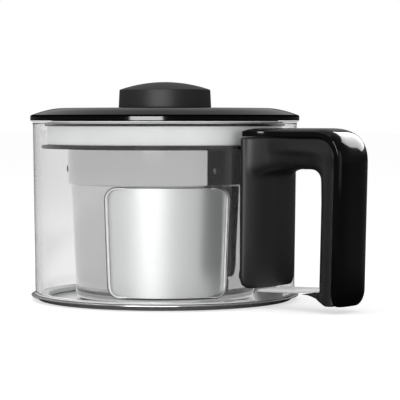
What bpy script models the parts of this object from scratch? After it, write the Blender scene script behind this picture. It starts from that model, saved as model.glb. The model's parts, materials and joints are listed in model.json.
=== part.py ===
"""Glass tea jug with a lift-out steel infuser, a black lid and a side handle.

Sizes are in metres and +Z is up. The jug stands on the plane Z = 0 with its axis on
the Z axis, and the handle lies along +X. Each physical piece is one closed solid.
"""
import bpy
import bmesh
from math import asin, cos, pi, radians, sin, sqrt, tan
from mathutils import Matrix, Vector

# Clearances
SEAT_GAP = 0.0003
CUT_OVERRUN = 0.0030
WELD_DISTANCE = 0.000004

# Facets of round pieces
ROUND_STEPS = 48
GLASS_STEPS = 60
SMALL_STEPS = 16
FILLET_SEGMENTS = 3

# Base pan, a pressed steel dish
PAN_SHEET = 0.0009
PAN_WALL_INSET = 0.00035
PAN_WALL_SPREAD = 0.0027
PAN_RIM_WIDTH = 0.0027
PAN_RIM_HEIGHT = 0.0032
PAN_BEND_RADIUS = 0.0009

# Base seal, silicone between dish and glass
SEAL_HEIGHT = 0.0027
SEAL_BAND = 0.0075
SEAL_LIP = 0.0004

# Glass tube
GLASS_HEIGHT = 0.0958
GLASS_WALL = 0.0030
GLASS_FOOT_RADIUS = 0.07365
GLASS_DRAFT = 0.0011
GLASS_FLARE = 0.00105
GLASS_FLARE_HEIGHT = 0.0022
GLASS_EDGE_RADIUS = 0.0006
POUR_LIP_REACH = 0.0065
POUR_LIP_DROP = 0.0150
POUR_LIP_HALF_ANGLE = radians(20.0)

# Handle bond to the glass
BOND_THICKNESS = 0.0008
BOND_MARGIN = 0.0030

# Handle pad, the curved plate against the glass
PAD_THICKNESS = 0.0024
PAD_HALF_WIDTH = 0.0236
PAD_FOOT_GAP = 0.0010
PAD_CORNER_RADIUS = 0.0064
PAD_EDGE_RADIUS = 0.0010

# Handle arm and leg
HANDLE_HALF_WIDTH = 0.0138
ARM_TOP_DROP = 0.0074
ARM_DEPTH = 0.0173
FINGER_GAP = 0.0369
LEG_DEPTH = 0.0108
LEG_FOOT_HEIGHT = 0.0036
OUTER_BEND_RADIUS = 0.0111
INNER_BEND_RADIUS = 0.0080
GRIP_EDGE_RADIUS = 0.0058
FAN_LENGTH = 0.0200
FAN_FILLET_DEPTH = 0.0055

# Handle cover, the crowned cap on the outside of arm and leg
COVER_WALL = 0.0019
COVER_CROWN = 0.0024
COVER_CORNER = 0.0018
COVER_GLASS_GAP = 0.0010
COVER_END_ROUND = 0.0048

# Handle bracket, the steel strap under the handle's foot
BRACKET_SHEET = 0.0014
BRACKET_HALF_WIDTH = 0.0120
BRACKET_HEIGHT = 0.0102
BRACKET_FIRST_RISE = 0.0007
BRACKET_SLOPE_LENGTH = 0.0226
BRACKET_SECOND_RISE = 0.0019
BRACKET_TIP_COVER = 0.0036

# Toe of the handle's foot, arched underneath
TOE_LENGTH = 0.0217
TOE_DEPTH = 0.0005
ARCH_FOOT_WIDTH = 0.0038

# Screws and inserts that hold the bracket in the foot
FOOT_SCREW_COVER = 0.0070
FOOT_SCREW_SPREAD = 0.0060
FOOT_SCREW_RADIUS = 0.0012
FOOT_SCREW_LENGTH = 0.0105
FOOT_SCREW_HEAD_RADIUS = 0.0024
FOOT_SCREW_HEAD_HEIGHT = 0.0014
FOOT_SCREW_BED = 0.0010
FOOT_INSERT_RADIUS = 0.0022
FOOT_INSERT_LENGTH = 0.0050

# Infuser collar, hung on the glass rim
COLLAR_SHEET = 0.0006
COLLAR_FLANGE_INSET = 0.0002
COLLAR_PLAY = 0.00515
COLLAR_DEPTH = 0.0126
COLLAR_CORNER_RADIUS = 0.0034
COLLAR_SLEEVE_DEPTH = 0.0182
COLLAR_BEND_RADIUS = 0.0012
COLLAR_SEAL_WIDTH = 0.0013
COLLAR_SEAL_DEPTH = 0.0020

# Infuser ring, silicone bumper between collar and cup
BUMPER_PLAY = 0.00175
BUMPER_THICKNESS = 0.0018
BUMPER_EDGE_RADIUS = 0.0006

# Infuser cup, a tapered steel basket under a wider band
CUP_SHEET = 0.0006
CUP_INSET = 0.01147
CUP_BAND_TAPER = 0.0002
CUP_BAND_DEPTH = 0.0194
CUP_JOGGLE = 0.00185
CUP_JOGGLE_HEIGHT = 0.0005
CUP_TAPER = 0.00283
CUP_FLOOR_CLEARANCE = 0.0011
CUP_CORNER_RADIUS = 0.0012
CUP_FLOOR_LAND = 0.0045
STRAINER_SHEET = 0.0005
STRAINER_RISE = 0.0004

# Three windows in the cup with frames and fine mesh panels
WINDOW_COUNT = 3
WINDOW_FIRST_ANGLE = radians(-48.3)
WINDOW_FOOT_HEIGHT = 0.0017
WINDOW_TOP_MARGIN = 0.0003
WINDOW_TOP_HALF_ANGLE = radians(40.5)
WINDOW_FOOT_HALF_ANGLE = radians(40.1)
WINDOW_CORNER_RADIUS = 0.0068
FRAME_BEAD_WIDTH = 0.0016
FRAME_PROUD = 0.0002
PANEL_RECESS = 0.0016
PANEL_SHEET = 0.0005
PANEL_LAP = 0.0012

# Rivets that join the collar's sleeve and the cup
RIVET_DROP = 0.0113
RIVET_FIRST_ANGLE = radians(-19.5)
RIVET_RADIUS = 0.0012
RIVET_HEAD_RADIUS = 0.0021
RIVET_HEAD_HEIGHT = 0.0006

# Lid cover
LID_HEIGHT = 0.0071
LID_BORDER_WIDTH = 0.0148
LID_OVERHANG = 0.0007
LID_RIM_HEIGHT = 0.0030
LID_WALL = 0.0022
LID_EDGE_RADIUS = 0.0009

# Lid liner, the skirt that drops into the collar
LINER_WALL = 0.0012
LINER_PLAY = 0.0018
LINER_DEPTH = 0.0072
LINER_FOOT_HEIGHT = 0.0012

# Lid gasket round the skirt
GASKET_HEIGHT = 0.0022

# Lid knob
KNOB_FOOT_RADIUS = 0.0263
KNOB_TOP_RADIUS = 0.0258
KNOB_SIDE_HEIGHT = 0.0101
KNOB_DOME_HEIGHT = 0.0044
KNOB_EDGE_RADIUS = 0.0005

# Knob insert, screw and washer
KNOB_INSERT_RADIUS = 0.0042
KNOB_INSERT_LENGTH = 0.0080
KNOB_SCREW_RADIUS = 0.0020
KNOB_SCREW_LENGTH = 0.0125
KNOB_HEAD_RADIUS = 0.0038
KNOB_HEAD_HEIGHT = 0.0024
WASHER_RADIUS = 0.0058
WASHER_THICKNESS = 0.0010

# Heights that follow from the stack of pieces
SEAL_FOOT_Z = PAN_SHEET + SEAT_GAP
GLASS_FOOT_Z = SEAL_FOOT_Z + SEAL_HEIGHT + SEAT_GAP
GLASS_TOP_Z = GLASS_FOOT_Z + GLASS_HEIGHT
GLASS_NECK_Z = GLASS_TOP_Z - GLASS_FLARE_HEIGHT
ARM_TOP_HEIGHT = GLASS_TOP_Z - ARM_TOP_DROP
PAD_FOOT_HEIGHT = BRACKET_HEIGHT + PAD_FOOT_GAP
INFUSER_SEAT_Z = GLASS_TOP_Z + SEAT_GAP
LID_SEAT_Z = INFUSER_SEAT_Z + COLLAR_SHEET + SEAT_GAP

# Heights inside the infuser, measured from the underside of its flange
COLLAR_STEP_Z = -COLLAR_DEPTH
BUMPER_TOP_Z = COLLAR_STEP_Z - SEAT_GAP
CUP_TOP_Z = BUMPER_TOP_Z - BUMPER_THICKNESS - SEAT_GAP
CUP_FOOT_Z = PAN_SHEET + CUP_FLOOR_CLEARANCE - INFUSER_SEAT_Z
SLEEVE_FOOT_Z = COLLAR_STEP_Z - COLLAR_SLEEVE_DEPTH
WINDOW_FOOT_Z = CUP_FOOT_Z + WINDOW_FOOT_HEIGHT
BAND_FOOT_Z = CUP_TOP_Z - CUP_BAND_DEPTH
BODY_TOP_Z = BAND_FOOT_Z - CUP_JOGGLE_HEIGHT
WINDOW_TOP_Z = BODY_TOP_Z - WINDOW_TOP_MARGIN

# Radii that follow from the glass
GLASS_NECK_RADIUS = GLASS_FOOT_RADIUS + GLASS_DRAFT
GLASS_RIM_RADIUS = GLASS_NECK_RADIUS + GLASS_FLARE
GLASS_BORE_RADIUS = GLASS_NECK_RADIUS - GLASS_WALL
PAN_WALL_RADIUS = GLASS_FOOT_RADIUS - PAN_WALL_INSET
PAN_FLOOR_RADIUS = PAN_WALL_RADIUS - PAN_WALL_SPREAD
PAN_RIM_RADIUS = PAN_WALL_RADIUS + PAN_RIM_WIDTH
COLLAR_FLANGE_RADIUS = GLASS_RIM_RADIUS - COLLAR_FLANGE_INSET
COLLAR_RADIUS = GLASS_BORE_RADIUS - COLLAR_PLAY
BUMPER_RADIUS = GLASS_BORE_RADIUS - BUMPER_PLAY
CUP_TOP_RADIUS = COLLAR_RADIUS - CUP_INSET
BAND_FOOT_RADIUS = CUP_TOP_RADIUS - CUP_BAND_TAPER
BODY_TOP_RADIUS = BAND_FOOT_RADIUS - CUP_JOGGLE
CUP_FOOT_RADIUS = BODY_TOP_RADIUS - CUP_TAPER
LID_RADIUS = COLLAR_FLANGE_RADIUS + LID_OVERHANG
LID_FLAT_RADIUS = LID_RADIUS - LID_BORDER_WIDTH

# Distances of the handle's pieces from the jug's axis
PAD_OFFSET = SEAT_GAP + BOND_THICKNESS + SEAT_GAP
LEG_REACH = GLASS_NECK_RADIUS + PAD_OFFSET + PAD_THICKNESS + FINGER_GAP + LEG_DEPTH
BRACKET_TIP_REACH = LEG_REACH - BRACKET_TIP_COVER
BRACKET_BEND_REACH = BRACKET_TIP_REACH - BRACKET_SLOPE_LENGTH
TOE_REACH = LEG_REACH - TOE_LENGTH
ARCH_END_REACH = LEG_REACH - ARCH_FOOT_WIDTH
FOOT_SCREW_REACH = LEG_REACH - FOOT_SCREW_COVER

# Radii that follow from the pieces around them
KNOB_BORE_RADIUS = KNOB_INSERT_RADIUS + SEAT_GAP
SCREW_BORE_RADIUS = KNOB_SCREW_RADIUS + SEAT_GAP
COLLAR_BORE_RADIUS = COLLAR_RADIUS - COLLAR_SHEET
LINER_RADIUS = COLLAR_BORE_RADIUS - LINER_PLAY

# Shares of a quarter turn at the stations of a bend or a fan
BEND_SHARES = (0.0, 0.2, 0.4, 0.6, 0.8, 1.0)
FAN_SHARES = (1.0, 0.86, 0.72, 0.56, 0.4, 0.22, 0.0)

# Shares of the height of the cover's rounded end at its stations
END_SHARES = (1.0, 0.3, 0.0)

# Shares of the arch's length and rise, from below its foot to its crown
ARCH_SHARES = ((-0.15, -0.31), (0.15, 0.31), (0.29, 0.6), (0.48, 0.87), (0.65, 0.98), (0.81, 1.0), (1.0, 1.0))

# Shares of a window prism's start and end, out from the axis, of the cup's radius
PRISM_START_SHARE = 0.62
PRISM_END_SHARE = 1.12


def clear_scene():
    """Remove every object of the scene before the jug is modelled."""
    for item in list(bpy.data.objects):
        bpy.data.objects.remove(item, do_unlink=True)


def make_collection(name):
    """Return a new collection that is linked to the scene."""
    group = bpy.data.collections.new(name)
    bpy.context.scene.collection.children.link(group)
    return group


def make_material(name, colour, roughness, metallic=0.0, transmission=0.0):
    """Return a Principled material with the given look."""
    material = bpy.data.materials.new(name)
    material.use_nodes = True
    shader = material.node_tree.nodes["Principled BSDF"]
    shader.inputs["Base Color"].default_value = (*colour, 1.0)
    shader.inputs["Roughness"].default_value = roughness
    shader.inputs["Metallic"].default_value = metallic
    shader.inputs["Transmission Weight"].default_value = transmission
    material.diffuse_color = (*colour, 1.0)
    return material


def rounded(corners, closed=True, segments=FILLET_SEGMENTS):
    """Return an outline whose corners (x, y, radius) are replaced by arcs."""
    count = len(corners)
    outline = []
    for index, (x, y, radius) in enumerate(corners):
        corner = Vector((x, y))
        if radius == 0 or (not closed and index in (0, count - 1)):
            outline.append(corner)
            continue
        back = Vector(corners[index - 1][:2]) - corner
        ahead = Vector(corners[(index + 1) % count][:2]) - corner
        half = back.angle(ahead) / 2
        reach = min(radius / tan(half), back.length * 0.49, ahead.length * 0.49)
        fitted = reach * tan(half)
        centre = corner + (back.normalized() + ahead.normalized()).normalized() * (fitted / sin(half))
        start = corner + back.normalized() * reach - centre
        turn = start.angle_signed(corner + ahead.normalized() * reach - centre)
        for step in range(segments + 1):
            angle = -turn * step / segments
            outline.append(centre + Matrix.Rotation(angle, 2) @ start)
    return outline


def freeze(item, cap=False):
    """Turn an object's modifiers into a clean closed mesh with faces out."""
    graph = bpy.context.evaluated_depsgraph_get()
    mesh = bpy.data.meshes.new_from_object(item.evaluated_get(graph))
    old = item.data
    item.modifiers.clear()
    item.data = mesh
    bpy.data.meshes.remove(old)
    work = bmesh.new()
    work.from_mesh(mesh)
    bmesh.ops.remove_doubles(work, verts=work.verts, dist=WELD_DISTANCE)
    bmesh.ops.dissolve_degenerate(work, edges=work.edges, dist=WELD_DISTANCE)
    if cap:
        bmesh.ops.holes_fill(work, edges=[edge for edge in work.edges if edge.is_boundary])
    bmesh.ops.recalc_face_normals(work, faces=work.faces)
    work.to_mesh(mesh)
    work.free()
    return item


def shade(item):
    """Shade an object smooth and keep its corners sharp."""
    item.data.shade_smooth()
    item.data.set_sharp_from_angle(angle=radians(32.0))
    return item


def turned(name, profile, closed=True, steps=ROUND_STEPS, half_angle=None):
    """Return a solid turned about Z from a profile of (radius, height) points.

    The profile runs down its outer side. A half angle limits the turn to a sector
    that is centred on +X, with flat ends.
    """
    mesh = bpy.data.meshes.new(name)
    points = [(point[0], 0.0, point[1]) for point in profile]
    edges = [(index, index + 1) for index in range(len(points) - 1)]
    if closed:
        edges.append((len(points) - 1, 0))
    mesh.from_pydata(points, edges, [])
    item = bpy.data.objects.new(name, mesh)
    PARTS.objects.link(item)
    screw = item.modifiers.new("Turn", "SCREW")
    screw.axis = "Z"
    screw.angle = 2 * pi if half_angle is None else 2 * half_angle
    screw.steps = steps
    screw.render_steps = steps
    screw.use_merge_vertices = True
    screw.merge_threshold = WELD_DISTANCE
    freeze(item, cap=half_angle is not None)
    if half_angle is not None:
        item.data.transform(Matrix.Rotation(-half_angle, 4, "Z"))
    return item


def prism(name, outlines, start, end, frame):
    """Return a straight solid between two planes, from flat outlines with holes.

    The outline's x, y and the way from start to end are the frame's X, Y and Z.
    """
    curve = bpy.data.curves.new(name, "CURVE")
    curve.dimensions = "2D"
    curve.fill_mode = "BOTH"
    curve.extrude = (end - start) / 2
    for outline in outlines:
        spline = curve.splines.new("POLY")
        spline.points.add(len(outline) - 1)
        for point, place in zip(spline.points, outline):
            point.co = (place[0], place[1], 0.0, 1.0)
        spline.use_cyclic_u = True
    drawn = bpy.data.objects.new(name, curve)
    CUTTERS.objects.link(drawn)
    bpy.context.view_layer.update()
    graph = bpy.context.evaluated_depsgraph_get()
    mesh = bpy.data.meshes.new_from_object(drawn.evaluated_get(graph))
    bpy.data.objects.remove(drawn, do_unlink=True)
    bpy.data.curves.remove(curve)
    mesh.transform(frame @ Matrix.Translation((0.0, 0.0, (start + end) / 2)))
    work = bmesh.new()
    work.from_mesh(mesh)
    bmesh.ops.remove_doubles(work, verts=work.verts, dist=WELD_DISTANCE)
    bmesh.ops.recalc_face_normals(work, faces=work.faces)
    work.to_mesh(mesh)
    work.free()
    item = bpy.data.objects.new(name, mesh)
    CUTTERS.objects.link(item)
    item.hide_render = True
    item.display_type = "WIRE"
    return item


def drill(name, radius, foot, top, place):
    """Return an upright round cutter between two heights at a place (x, y)."""
    mesh = bpy.data.meshes.new(name)
    work = bmesh.new()
    bmesh.ops.create_cone(
        work, cap_ends=True, segments=SMALL_STEPS, radius1=radius, radius2=radius, depth=top - foot
    )
    work.to_mesh(mesh)
    work.free()
    mesh.transform(Matrix.Translation((place[0], place[1], (foot + top) / 2)))
    item = bpy.data.objects.new(name, mesh)
    CUTTERS.objects.link(item)
    item.hide_render = True
    item.display_type = "WIRE"
    return item


def combine(item, tool, operation):
    """Cut, join or intersect an object with a tool, which is then removed."""
    boolean = item.modifiers.new(operation.title(), "BOOLEAN")
    boolean.operation = operation
    boolean.solver = "EXACT"
    boolean.object = tool
    freeze(item)
    mesh = tool.data
    bpy.data.objects.remove(tool, do_unlink=True)
    bpy.data.meshes.remove(mesh)
    return item


def loft(name, rings):
    """Return a solid skinned over rings, each one side's points and then the other's.

    The second side runs back over the first, so that each end closes with a row of
    faces between the two sides.
    """
    mesh = bpy.data.meshes.new(name)
    work = bmesh.new()
    rows = [[work.verts.new(point) for point in ring] for ring in rings]
    count = len(rows[0])
    for row, following in zip(rows, rows[1:]):
        for index in range(count):
            after = (index + 1) % count
            work.faces.new((row[index], row[after], following[after], following[index]))
    for row in (rows[0], rows[-1]):
        for index in range(count // 2 - 1):
            across = count - 1 - index
            work.faces.new((row[index], row[index + 1], row[across - 1], row[across]))
    bmesh.ops.recalc_face_normals(work, faces=work.faces)
    work.to_mesh(mesh)
    work.free()
    item = bpy.data.objects.new(name, mesh)
    PARTS.objects.link(item)
    return item


def own(item, parent, material):
    """Put a finished piece under its body's empty with its material."""
    item.parent = parent
    item.data.name = item.name
    item.data.materials.clear()
    item.data.materials.append(material)
    return shade(item)


def body_empty(name, height, parent=None):
    """Return an empty on the jug's axis that carries the pieces of one body."""
    empty = bpy.data.objects.new(name, None)
    empty.location = (0.0, 0.0, height)
    PARTS.objects.link(empty)
    empty.parent = parent
    return empty


def glass_radius(height):
    """Return the glass tube's outer radius at a height below its flare."""
    share = (height - GLASS_FOOT_Z) / (GLASS_NECK_Z - GLASS_FOOT_Z)
    return GLASS_FOOT_RADIUS + (GLASS_NECK_RADIUS - GLASS_FOOT_RADIUS) * share


def cup_radius(height):
    """Return the cup body's outer radius at a height in the infuser's frame."""
    share = (height - CUP_FOOT_Z) / (BODY_TOP_Z - CUP_FOOT_Z)
    return CUP_FOOT_RADIUS + (BODY_TOP_RADIUS - CUP_FOOT_RADIUS) * share


def band_radius(height):
    """Return the outer radius of the cup's band at a height in the infuser's frame."""
    share = (height - BAND_FOOT_Z) / (CUP_TOP_Z - BAND_FOOT_Z)
    return BAND_FOOT_RADIUS + (CUP_TOP_RADIUS - BAND_FOOT_RADIUS) * share


def bracket_height(reach):
    """Return the height of the bracket's upper face at a distance from the axis."""
    if reach <= BRACKET_BEND_REACH:
        share = (reach - GLASS_FOOT_RADIUS) / (BRACKET_BEND_REACH - GLASS_FOOT_RADIUS)
        return BRACKET_HEIGHT + BRACKET_FIRST_RISE * share
    share = (reach - BRACKET_BEND_REACH) / (BRACKET_TIP_REACH - BRACKET_BEND_REACH)
    return BRACKET_HEIGHT + BRACKET_FIRST_RISE + BRACKET_SECOND_RISE * share


def make_base_pan():
    """Return the pressed dish with its flat floor, rising wall and thin rim."""
    drop = PAN_RIM_HEIGHT - PAN_SHEET
    bend = PAN_BEND_RADIUS
    profile = rounded([
        (0.0, PAN_SHEET, 0.0),
        (PAN_FLOOR_RADIUS, PAN_SHEET, bend),
        (PAN_WALL_RADIUS, PAN_RIM_HEIGHT, bend),
        (PAN_RIM_RADIUS, PAN_RIM_HEIGHT, PAN_SHEET / 4),
        (PAN_RIM_RADIUS, drop, PAN_SHEET / 4),
        (PAN_WALL_RADIUS + PAN_SHEET, drop, bend),
        (PAN_FLOOR_RADIUS + PAN_SHEET, 0.0, bend + PAN_SHEET),
        (0.0, 0.0, 0.0),
    ], closed=False, segments=1)
    return turned("base_pan", profile, closed=False)


def make_base_seal():
    """Return the silicone ring that fills the dish's corner under the glass."""
    top = SEAL_FOOT_Z + SEAL_HEIGHT
    lip_foot = PAN_RIM_HEIGHT + SEAT_GAP
    outer = PAN_WALL_RADIUS + SEAL_LIP
    profile = [
        (outer - SEAL_BAND, top),
        (outer, top),
        (outer, lip_foot),
        (PAN_WALL_RADIUS - 2 * SEAT_GAP, lip_foot),
        (PAN_FLOOR_RADIUS - 2 * SEAT_GAP, SEAL_FOOT_Z),
        (outer - SEAL_BAND, SEAL_FOOT_Z),
    ]
    return turned("base_seal", profile)


def pour_lip_share(angle, height):
    """Return how far a point of the rim is drawn out into the pouring lip, 0 to 1."""
    off = abs((angle + 2 * pi) % (2 * pi) - pi) / POUR_LIP_HALF_ANGLE
    depth = (GLASS_TOP_Z - height) / POUR_LIP_DROP
    if off >= 1 or depth >= 1:
        return 0.0
    return cos(off * pi / 2) ** 2 * (1 - depth) ** 2


def make_glass_jug():
    """Return the open glass tube, flared at its rim, with a pouring lip at -X."""
    foot, neck, top = GLASS_FOOT_Z, GLASS_NECK_Z, GLASS_TOP_Z
    outer = [(GLASS_RIM_RADIUS, top, GLASS_EDGE_RADIUS), (GLASS_NECK_RADIUS, neck, 0.0)]
    inner = [(GLASS_NECK_RADIUS - GLASS_WALL, neck, 0.0)]
    for share in (0.3, 0.6, 1.0):
        height = neck - (top - POUR_LIP_DROP - neck) * -share
        outer.append((glass_radius(height), height, 0.0))
        inner.append((glass_radius(height) - GLASS_WALL, height, 0.0))
    profile = rounded(
        outer
        + [(GLASS_FOOT_RADIUS, foot, GLASS_EDGE_RADIUS)]
        + [(GLASS_FOOT_RADIUS - GLASS_WALL, foot, GLASS_EDGE_RADIUS)]
        + inner[::-1]
        + [(GLASS_RIM_RADIUS - GLASS_WALL, top, GLASS_EDGE_RADIUS)],
        segments=1,
    )
    item = turned("glass_jug", profile, steps=GLASS_STEPS)
    for vertex in item.data.vertices:
        place = vertex.co
        flat = Vector((place.x, place.y, 0.0))
        share = pour_lip_share(Vector((1.0, 0.0)).angle_signed(flat.xy), place.z)
        vertex.co = place + flat.normalized() * (POUR_LIP_REACH * share)
    return item


def make_bond():
    """Return the thin cured bond between the glass and the handle's pad."""
    foot = PAD_FOOT_HEIGHT + BOND_MARGIN
    top = ARM_TOP_HEIGHT - BOND_MARGIN
    inner_top = glass_radius(top) + SEAT_GAP
    inner_foot = glass_radius(foot) + SEAT_GAP
    profile = [
        (inner_top + BOND_THICKNESS, top),
        (inner_foot + BOND_THICKNESS, foot),
        (inner_foot, foot),
        (inner_top, top),
    ]
    half_angle = asin((PAD_HALF_WIDTH - BOND_MARGIN) / (GLASS_FOOT_RADIUS + SEAT_GAP))
    return turned("handle_bond", profile, steps=10, half_angle=half_angle)


def fan_state(share):
    """Return the reach, half width and extra depth of the arm at a share of its fan."""
    start = glass_radius(ARM_TOP_HEIGHT) + PAD_OFFSET + PAD_THICKNESS / 2
    reach = start + FAN_LENGTH * (1 - sin(share * pi / 2))
    spread = 1 - cos(share * pi / 2)
    half_width = HANDLE_HALF_WIDTH + (PAD_HALF_WIDTH - SEAT_GAP - HANDLE_HALF_WIDTH) * spread
    return reach, half_width, FAN_FILLET_DEPTH * spread


def wrap(reach, side, share):
    """Return a point's X, drawn back toward the round glass as the fan nears it."""
    radius = glass_radius(ARM_TOP_HEIGHT) + PAD_OFFSET
    return reach - share * (radius - sqrt(max(radius * radius - side * side, 0.0)))


def handle_stations():
    """Return the handle's stations as (outer point, inner point, outward way, width, fan)."""
    stations = []
    inner_z = ARM_TOP_HEIGHT - ARM_DEPTH
    for share in FAN_SHARES:
        reach, half_width, extra = fan_state(share)
        up = Vector((0.0, 1.0))
        outer = Vector((reach, ARM_TOP_HEIGHT))
        stations.append((outer, Vector((reach, inner_z - extra)), up, half_width, share))
    outer_centre = Vector((LEG_REACH - OUTER_BEND_RADIUS, ARM_TOP_HEIGHT - OUTER_BEND_RADIUS))
    inner_reach = LEG_REACH - LEG_DEPTH
    inner_centre = Vector((inner_reach - INNER_BEND_RADIUS, inner_z - INNER_BEND_RADIUS))
    for share in BEND_SHARES:
        angle = (1 - share) * pi / 2
        way = Vector((cos(angle), sin(angle)))
        outer = outer_centre + way * OUTER_BEND_RADIUS
        stations.append((outer, inner_centre + way * INNER_BEND_RADIUS, way, HANDLE_HALF_WIDTH, 0.0))
    out = Vector((1.0, 0.0))
    heights = [inner_centre.y - INNER_BEND_RADIUS]
    heights += [LEG_FOOT_HEIGHT + COVER_END_ROUND * share for share in END_SHARES]
    for height in heights:
        outer = Vector((LEG_REACH, height))
        stations.append((outer, Vector((inner_reach, height)), out, HANDLE_HALF_WIDTH, 0.0))
    return stations


def grip_ring(outer, inner, half_width, fan):
    """Return one section of the grip, flat outside and rounded at its inner edges."""
    depth = (inner - outer).length
    radius = min(GRIP_EDGE_RADIUS, depth / 2, half_width / 2)
    flat = half_width - radius
    rounding = [(radius * sin(step * pi / 6), flat + radius * cos(step * pi / 6)) for step in range(4)]
    half = [(depth - radius + rise, -side) for rise, side in rounding] + [(depth, -flat / 2)]
    section = half + [(depth, 0.0)] + [(across, -side) for across, side in half[::-1]]
    section += [(0.0, side) for across, side in section[::-1]]
    way = (inner - outer).normalized()
    ring = []
    for across, side in section:
        place = outer + way * across
        ring.append((wrap(place.x, side, fan), side, place.y))
    return ring


def cover_ring(outer, way, half_width, fan, end):
    """Return one section of the cover, with straight sides and a crowned outside.

    The end share, from 0 to 1, draws the section in toward the cover's rounded end.
    """
    narrow = half_width - COVER_END_ROUND * end * 0.8
    side_height = COVER_WALL * (1 - end / 2)
    crown = COVER_CROWN * (1 - end / 2)
    section = []
    for step in range(9):
        angle = step / 8 * pi
        section.append((side_height + crown * sin(angle), -narrow * cos(angle)))
    section += [(0.0, side) for across, side in section[::-1]]
    ring = []
    for across, side in section:
        place = outer + way * (SEAT_GAP + across)
        ring.append((wrap(place.x, side, fan), side, place.y))
    return ring


def tongue_outline(start, end, margin):
    """Return the side outline of the bracket's tongue, grown by a margin."""
    reaches = [start, BRACKET_BEND_REACH, end] if start < BRACKET_BEND_REACH else [start, end]
    top = [(reach, bracket_height(reach) + margin) for reach in reaches]
    foot = [(reach, bracket_height(reach) - BRACKET_SHEET - margin) for reach in reaches[::-1]]
    return top + foot


def side_frame():
    """Return the frame whose X, Y and Z are the world's X, Z and -Y."""
    return Matrix.Rotation(pi / 2, 4, "X")


def make_handle_body():
    """Return the moulded grip with its pad, its arched toe and the cuts in its foot."""
    rings = [grip_ring(outer, inner, width, fan) for outer, inner, way, width, fan in handle_stations()]
    item = loft("handle_body", rings)

    top, foot = ARM_TOP_HEIGHT - SEAT_GAP, PAD_FOOT_HEIGHT
    inner_top = glass_radius(top) + PAD_OFFSET
    inner_foot = glass_radius(foot) + PAD_OFFSET
    pad = turned("pad", [
        (inner_top + PAD_THICKNESS, top),
        (inner_foot + PAD_THICKNESS, foot),
        (inner_foot, foot),
        (inner_top, top),
    ], steps=16, half_angle=asin(PAD_HALF_WIDTH / inner_foot) * 1.1)
    edge = rounded([
        (-PAD_HALF_WIDTH, foot, PAD_CORNER_RADIUS),
        (PAD_HALF_WIDTH, foot, PAD_CORNER_RADIUS),
        (PAD_HALF_WIDTH, top + CUT_OVERRUN, 0.0),
        (-PAD_HALF_WIDTH, top + CUT_OVERRUN, 0.0),
    ], segments=4)
    facing = Matrix(((0, 0, 1, 0), (1, 0, 0, 0), (0, 1, 0, 0), (0, 0, 0, 1)))
    combine(pad, prism("pad_edge", [edge], inner_foot / 2, LEG_REACH, facing), "INTERSECT")
    bevel = pad.modifiers.new("Edge", "BEVEL")
    bevel.width = PAD_EDGE_RADIUS
    bevel.segments = 2
    bevel.angle_limit = radians(50.0)
    freeze(pad)
    combine(item, pad, "UNION")

    leg_centre = LEG_REACH - LEG_DEPTH / 2
    toe_drop = BRACKET_SHEET + SEAT_GAP * 1.5
    toe = [
        (TOE_REACH, bracket_height(TOE_REACH) - toe_drop),
        (leg_centre, bracket_height(leg_centre) - toe_drop),
        (leg_centre, LEG_FOOT_HEIGHT * 1.4),
        (TOE_REACH, LEG_FOOT_HEIGHT * 1.4),
    ]
    width = HANDLE_HALF_WIDTH - SEAT_GAP / 2
    combine(item, prism("toe", [toe], -width, width, side_frame()), "UNION")

    crown = bracket_height(TOE_REACH) - toe_drop - TOE_DEPTH
    span = ARCH_END_REACH - TOE_REACH + CUT_OVERRUN
    arch = [
        (ARCH_END_REACH - span * along, LEG_FOOT_HEIGHT + (crown - LEG_FOOT_HEIGHT) * rise)
        for along, rise in ARCH_SHARES
    ]
    arch.append((ARCH_END_REACH - span, LEG_FOOT_HEIGHT - CUT_OVERRUN))
    wide = HANDLE_HALF_WIDTH + CUT_OVERRUN
    combine(item, prism("arch", [arch], -wide, wide, side_frame()), "DIFFERENCE")

    inner_reach = LEG_REACH - LEG_DEPTH
    slot = tongue_outline(inner_reach - CUT_OVERRUN / 2, BRACKET_TIP_REACH + SEAT_GAP, SEAT_GAP)
    half = BRACKET_HALF_WIDTH + SEAT_GAP
    combine(item, prism("slot", [slot], -half, half, side_frame()), "DIFFERENCE")

    sheet_foot = bracket_height(FOOT_SCREW_REACH) - BRACKET_SHEET
    sheet_top = bracket_height(FOOT_SCREW_REACH)
    bed = sheet_foot - SEAT_GAP - FOOT_SCREW_BED
    for side in (-FOOT_SCREW_SPREAD, FOOT_SCREW_SPREAD):
        place = (FOOT_SCREW_REACH, side)
        sink = drill("sink", FOOT_SCREW_HEAD_RADIUS + SEAT_GAP, LEG_FOOT_HEIGHT - CUT_OVERRUN, bed, place)
        combine(item, sink, "DIFFERENCE")
        shank = drill("shank", FOOT_SCREW_RADIUS + SEAT_GAP, bed - CUT_OVERRUN, sheet_top, place)
        combine(item, shank, "DIFFERENCE")
        pocket_top = bed - SEAT_GAP + FOOT_SCREW_LENGTH + 2 * SEAT_GAP
        pocket = drill("pocket", FOOT_INSERT_RADIUS + SEAT_GAP, sheet_top, pocket_top, place)
        combine(item, pocket, "DIFFERENCE")
    return item


def make_handle_cover():
    """Return the crowned cover that follows the outside of the arm and the leg."""
    rings = []
    stations = handle_stations()
    ends = [0.0] * (len(stations) - len(END_SHARES))
    ends += [1 - sqrt(1 - (1 - share) ** 2) for share in END_SHARES]
    for index, (outer, inner, way, width, fan) in enumerate(stations):
        if index == 0:
            outer = Vector((glass_radius(ARM_TOP_HEIGHT) + COVER_GLASS_GAP, outer.y))
            width -= COVER_CORNER
        rings.append(cover_ring(outer, way, width, fan, ends[index]))
    return loft("handle_cover", rings)


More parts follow.
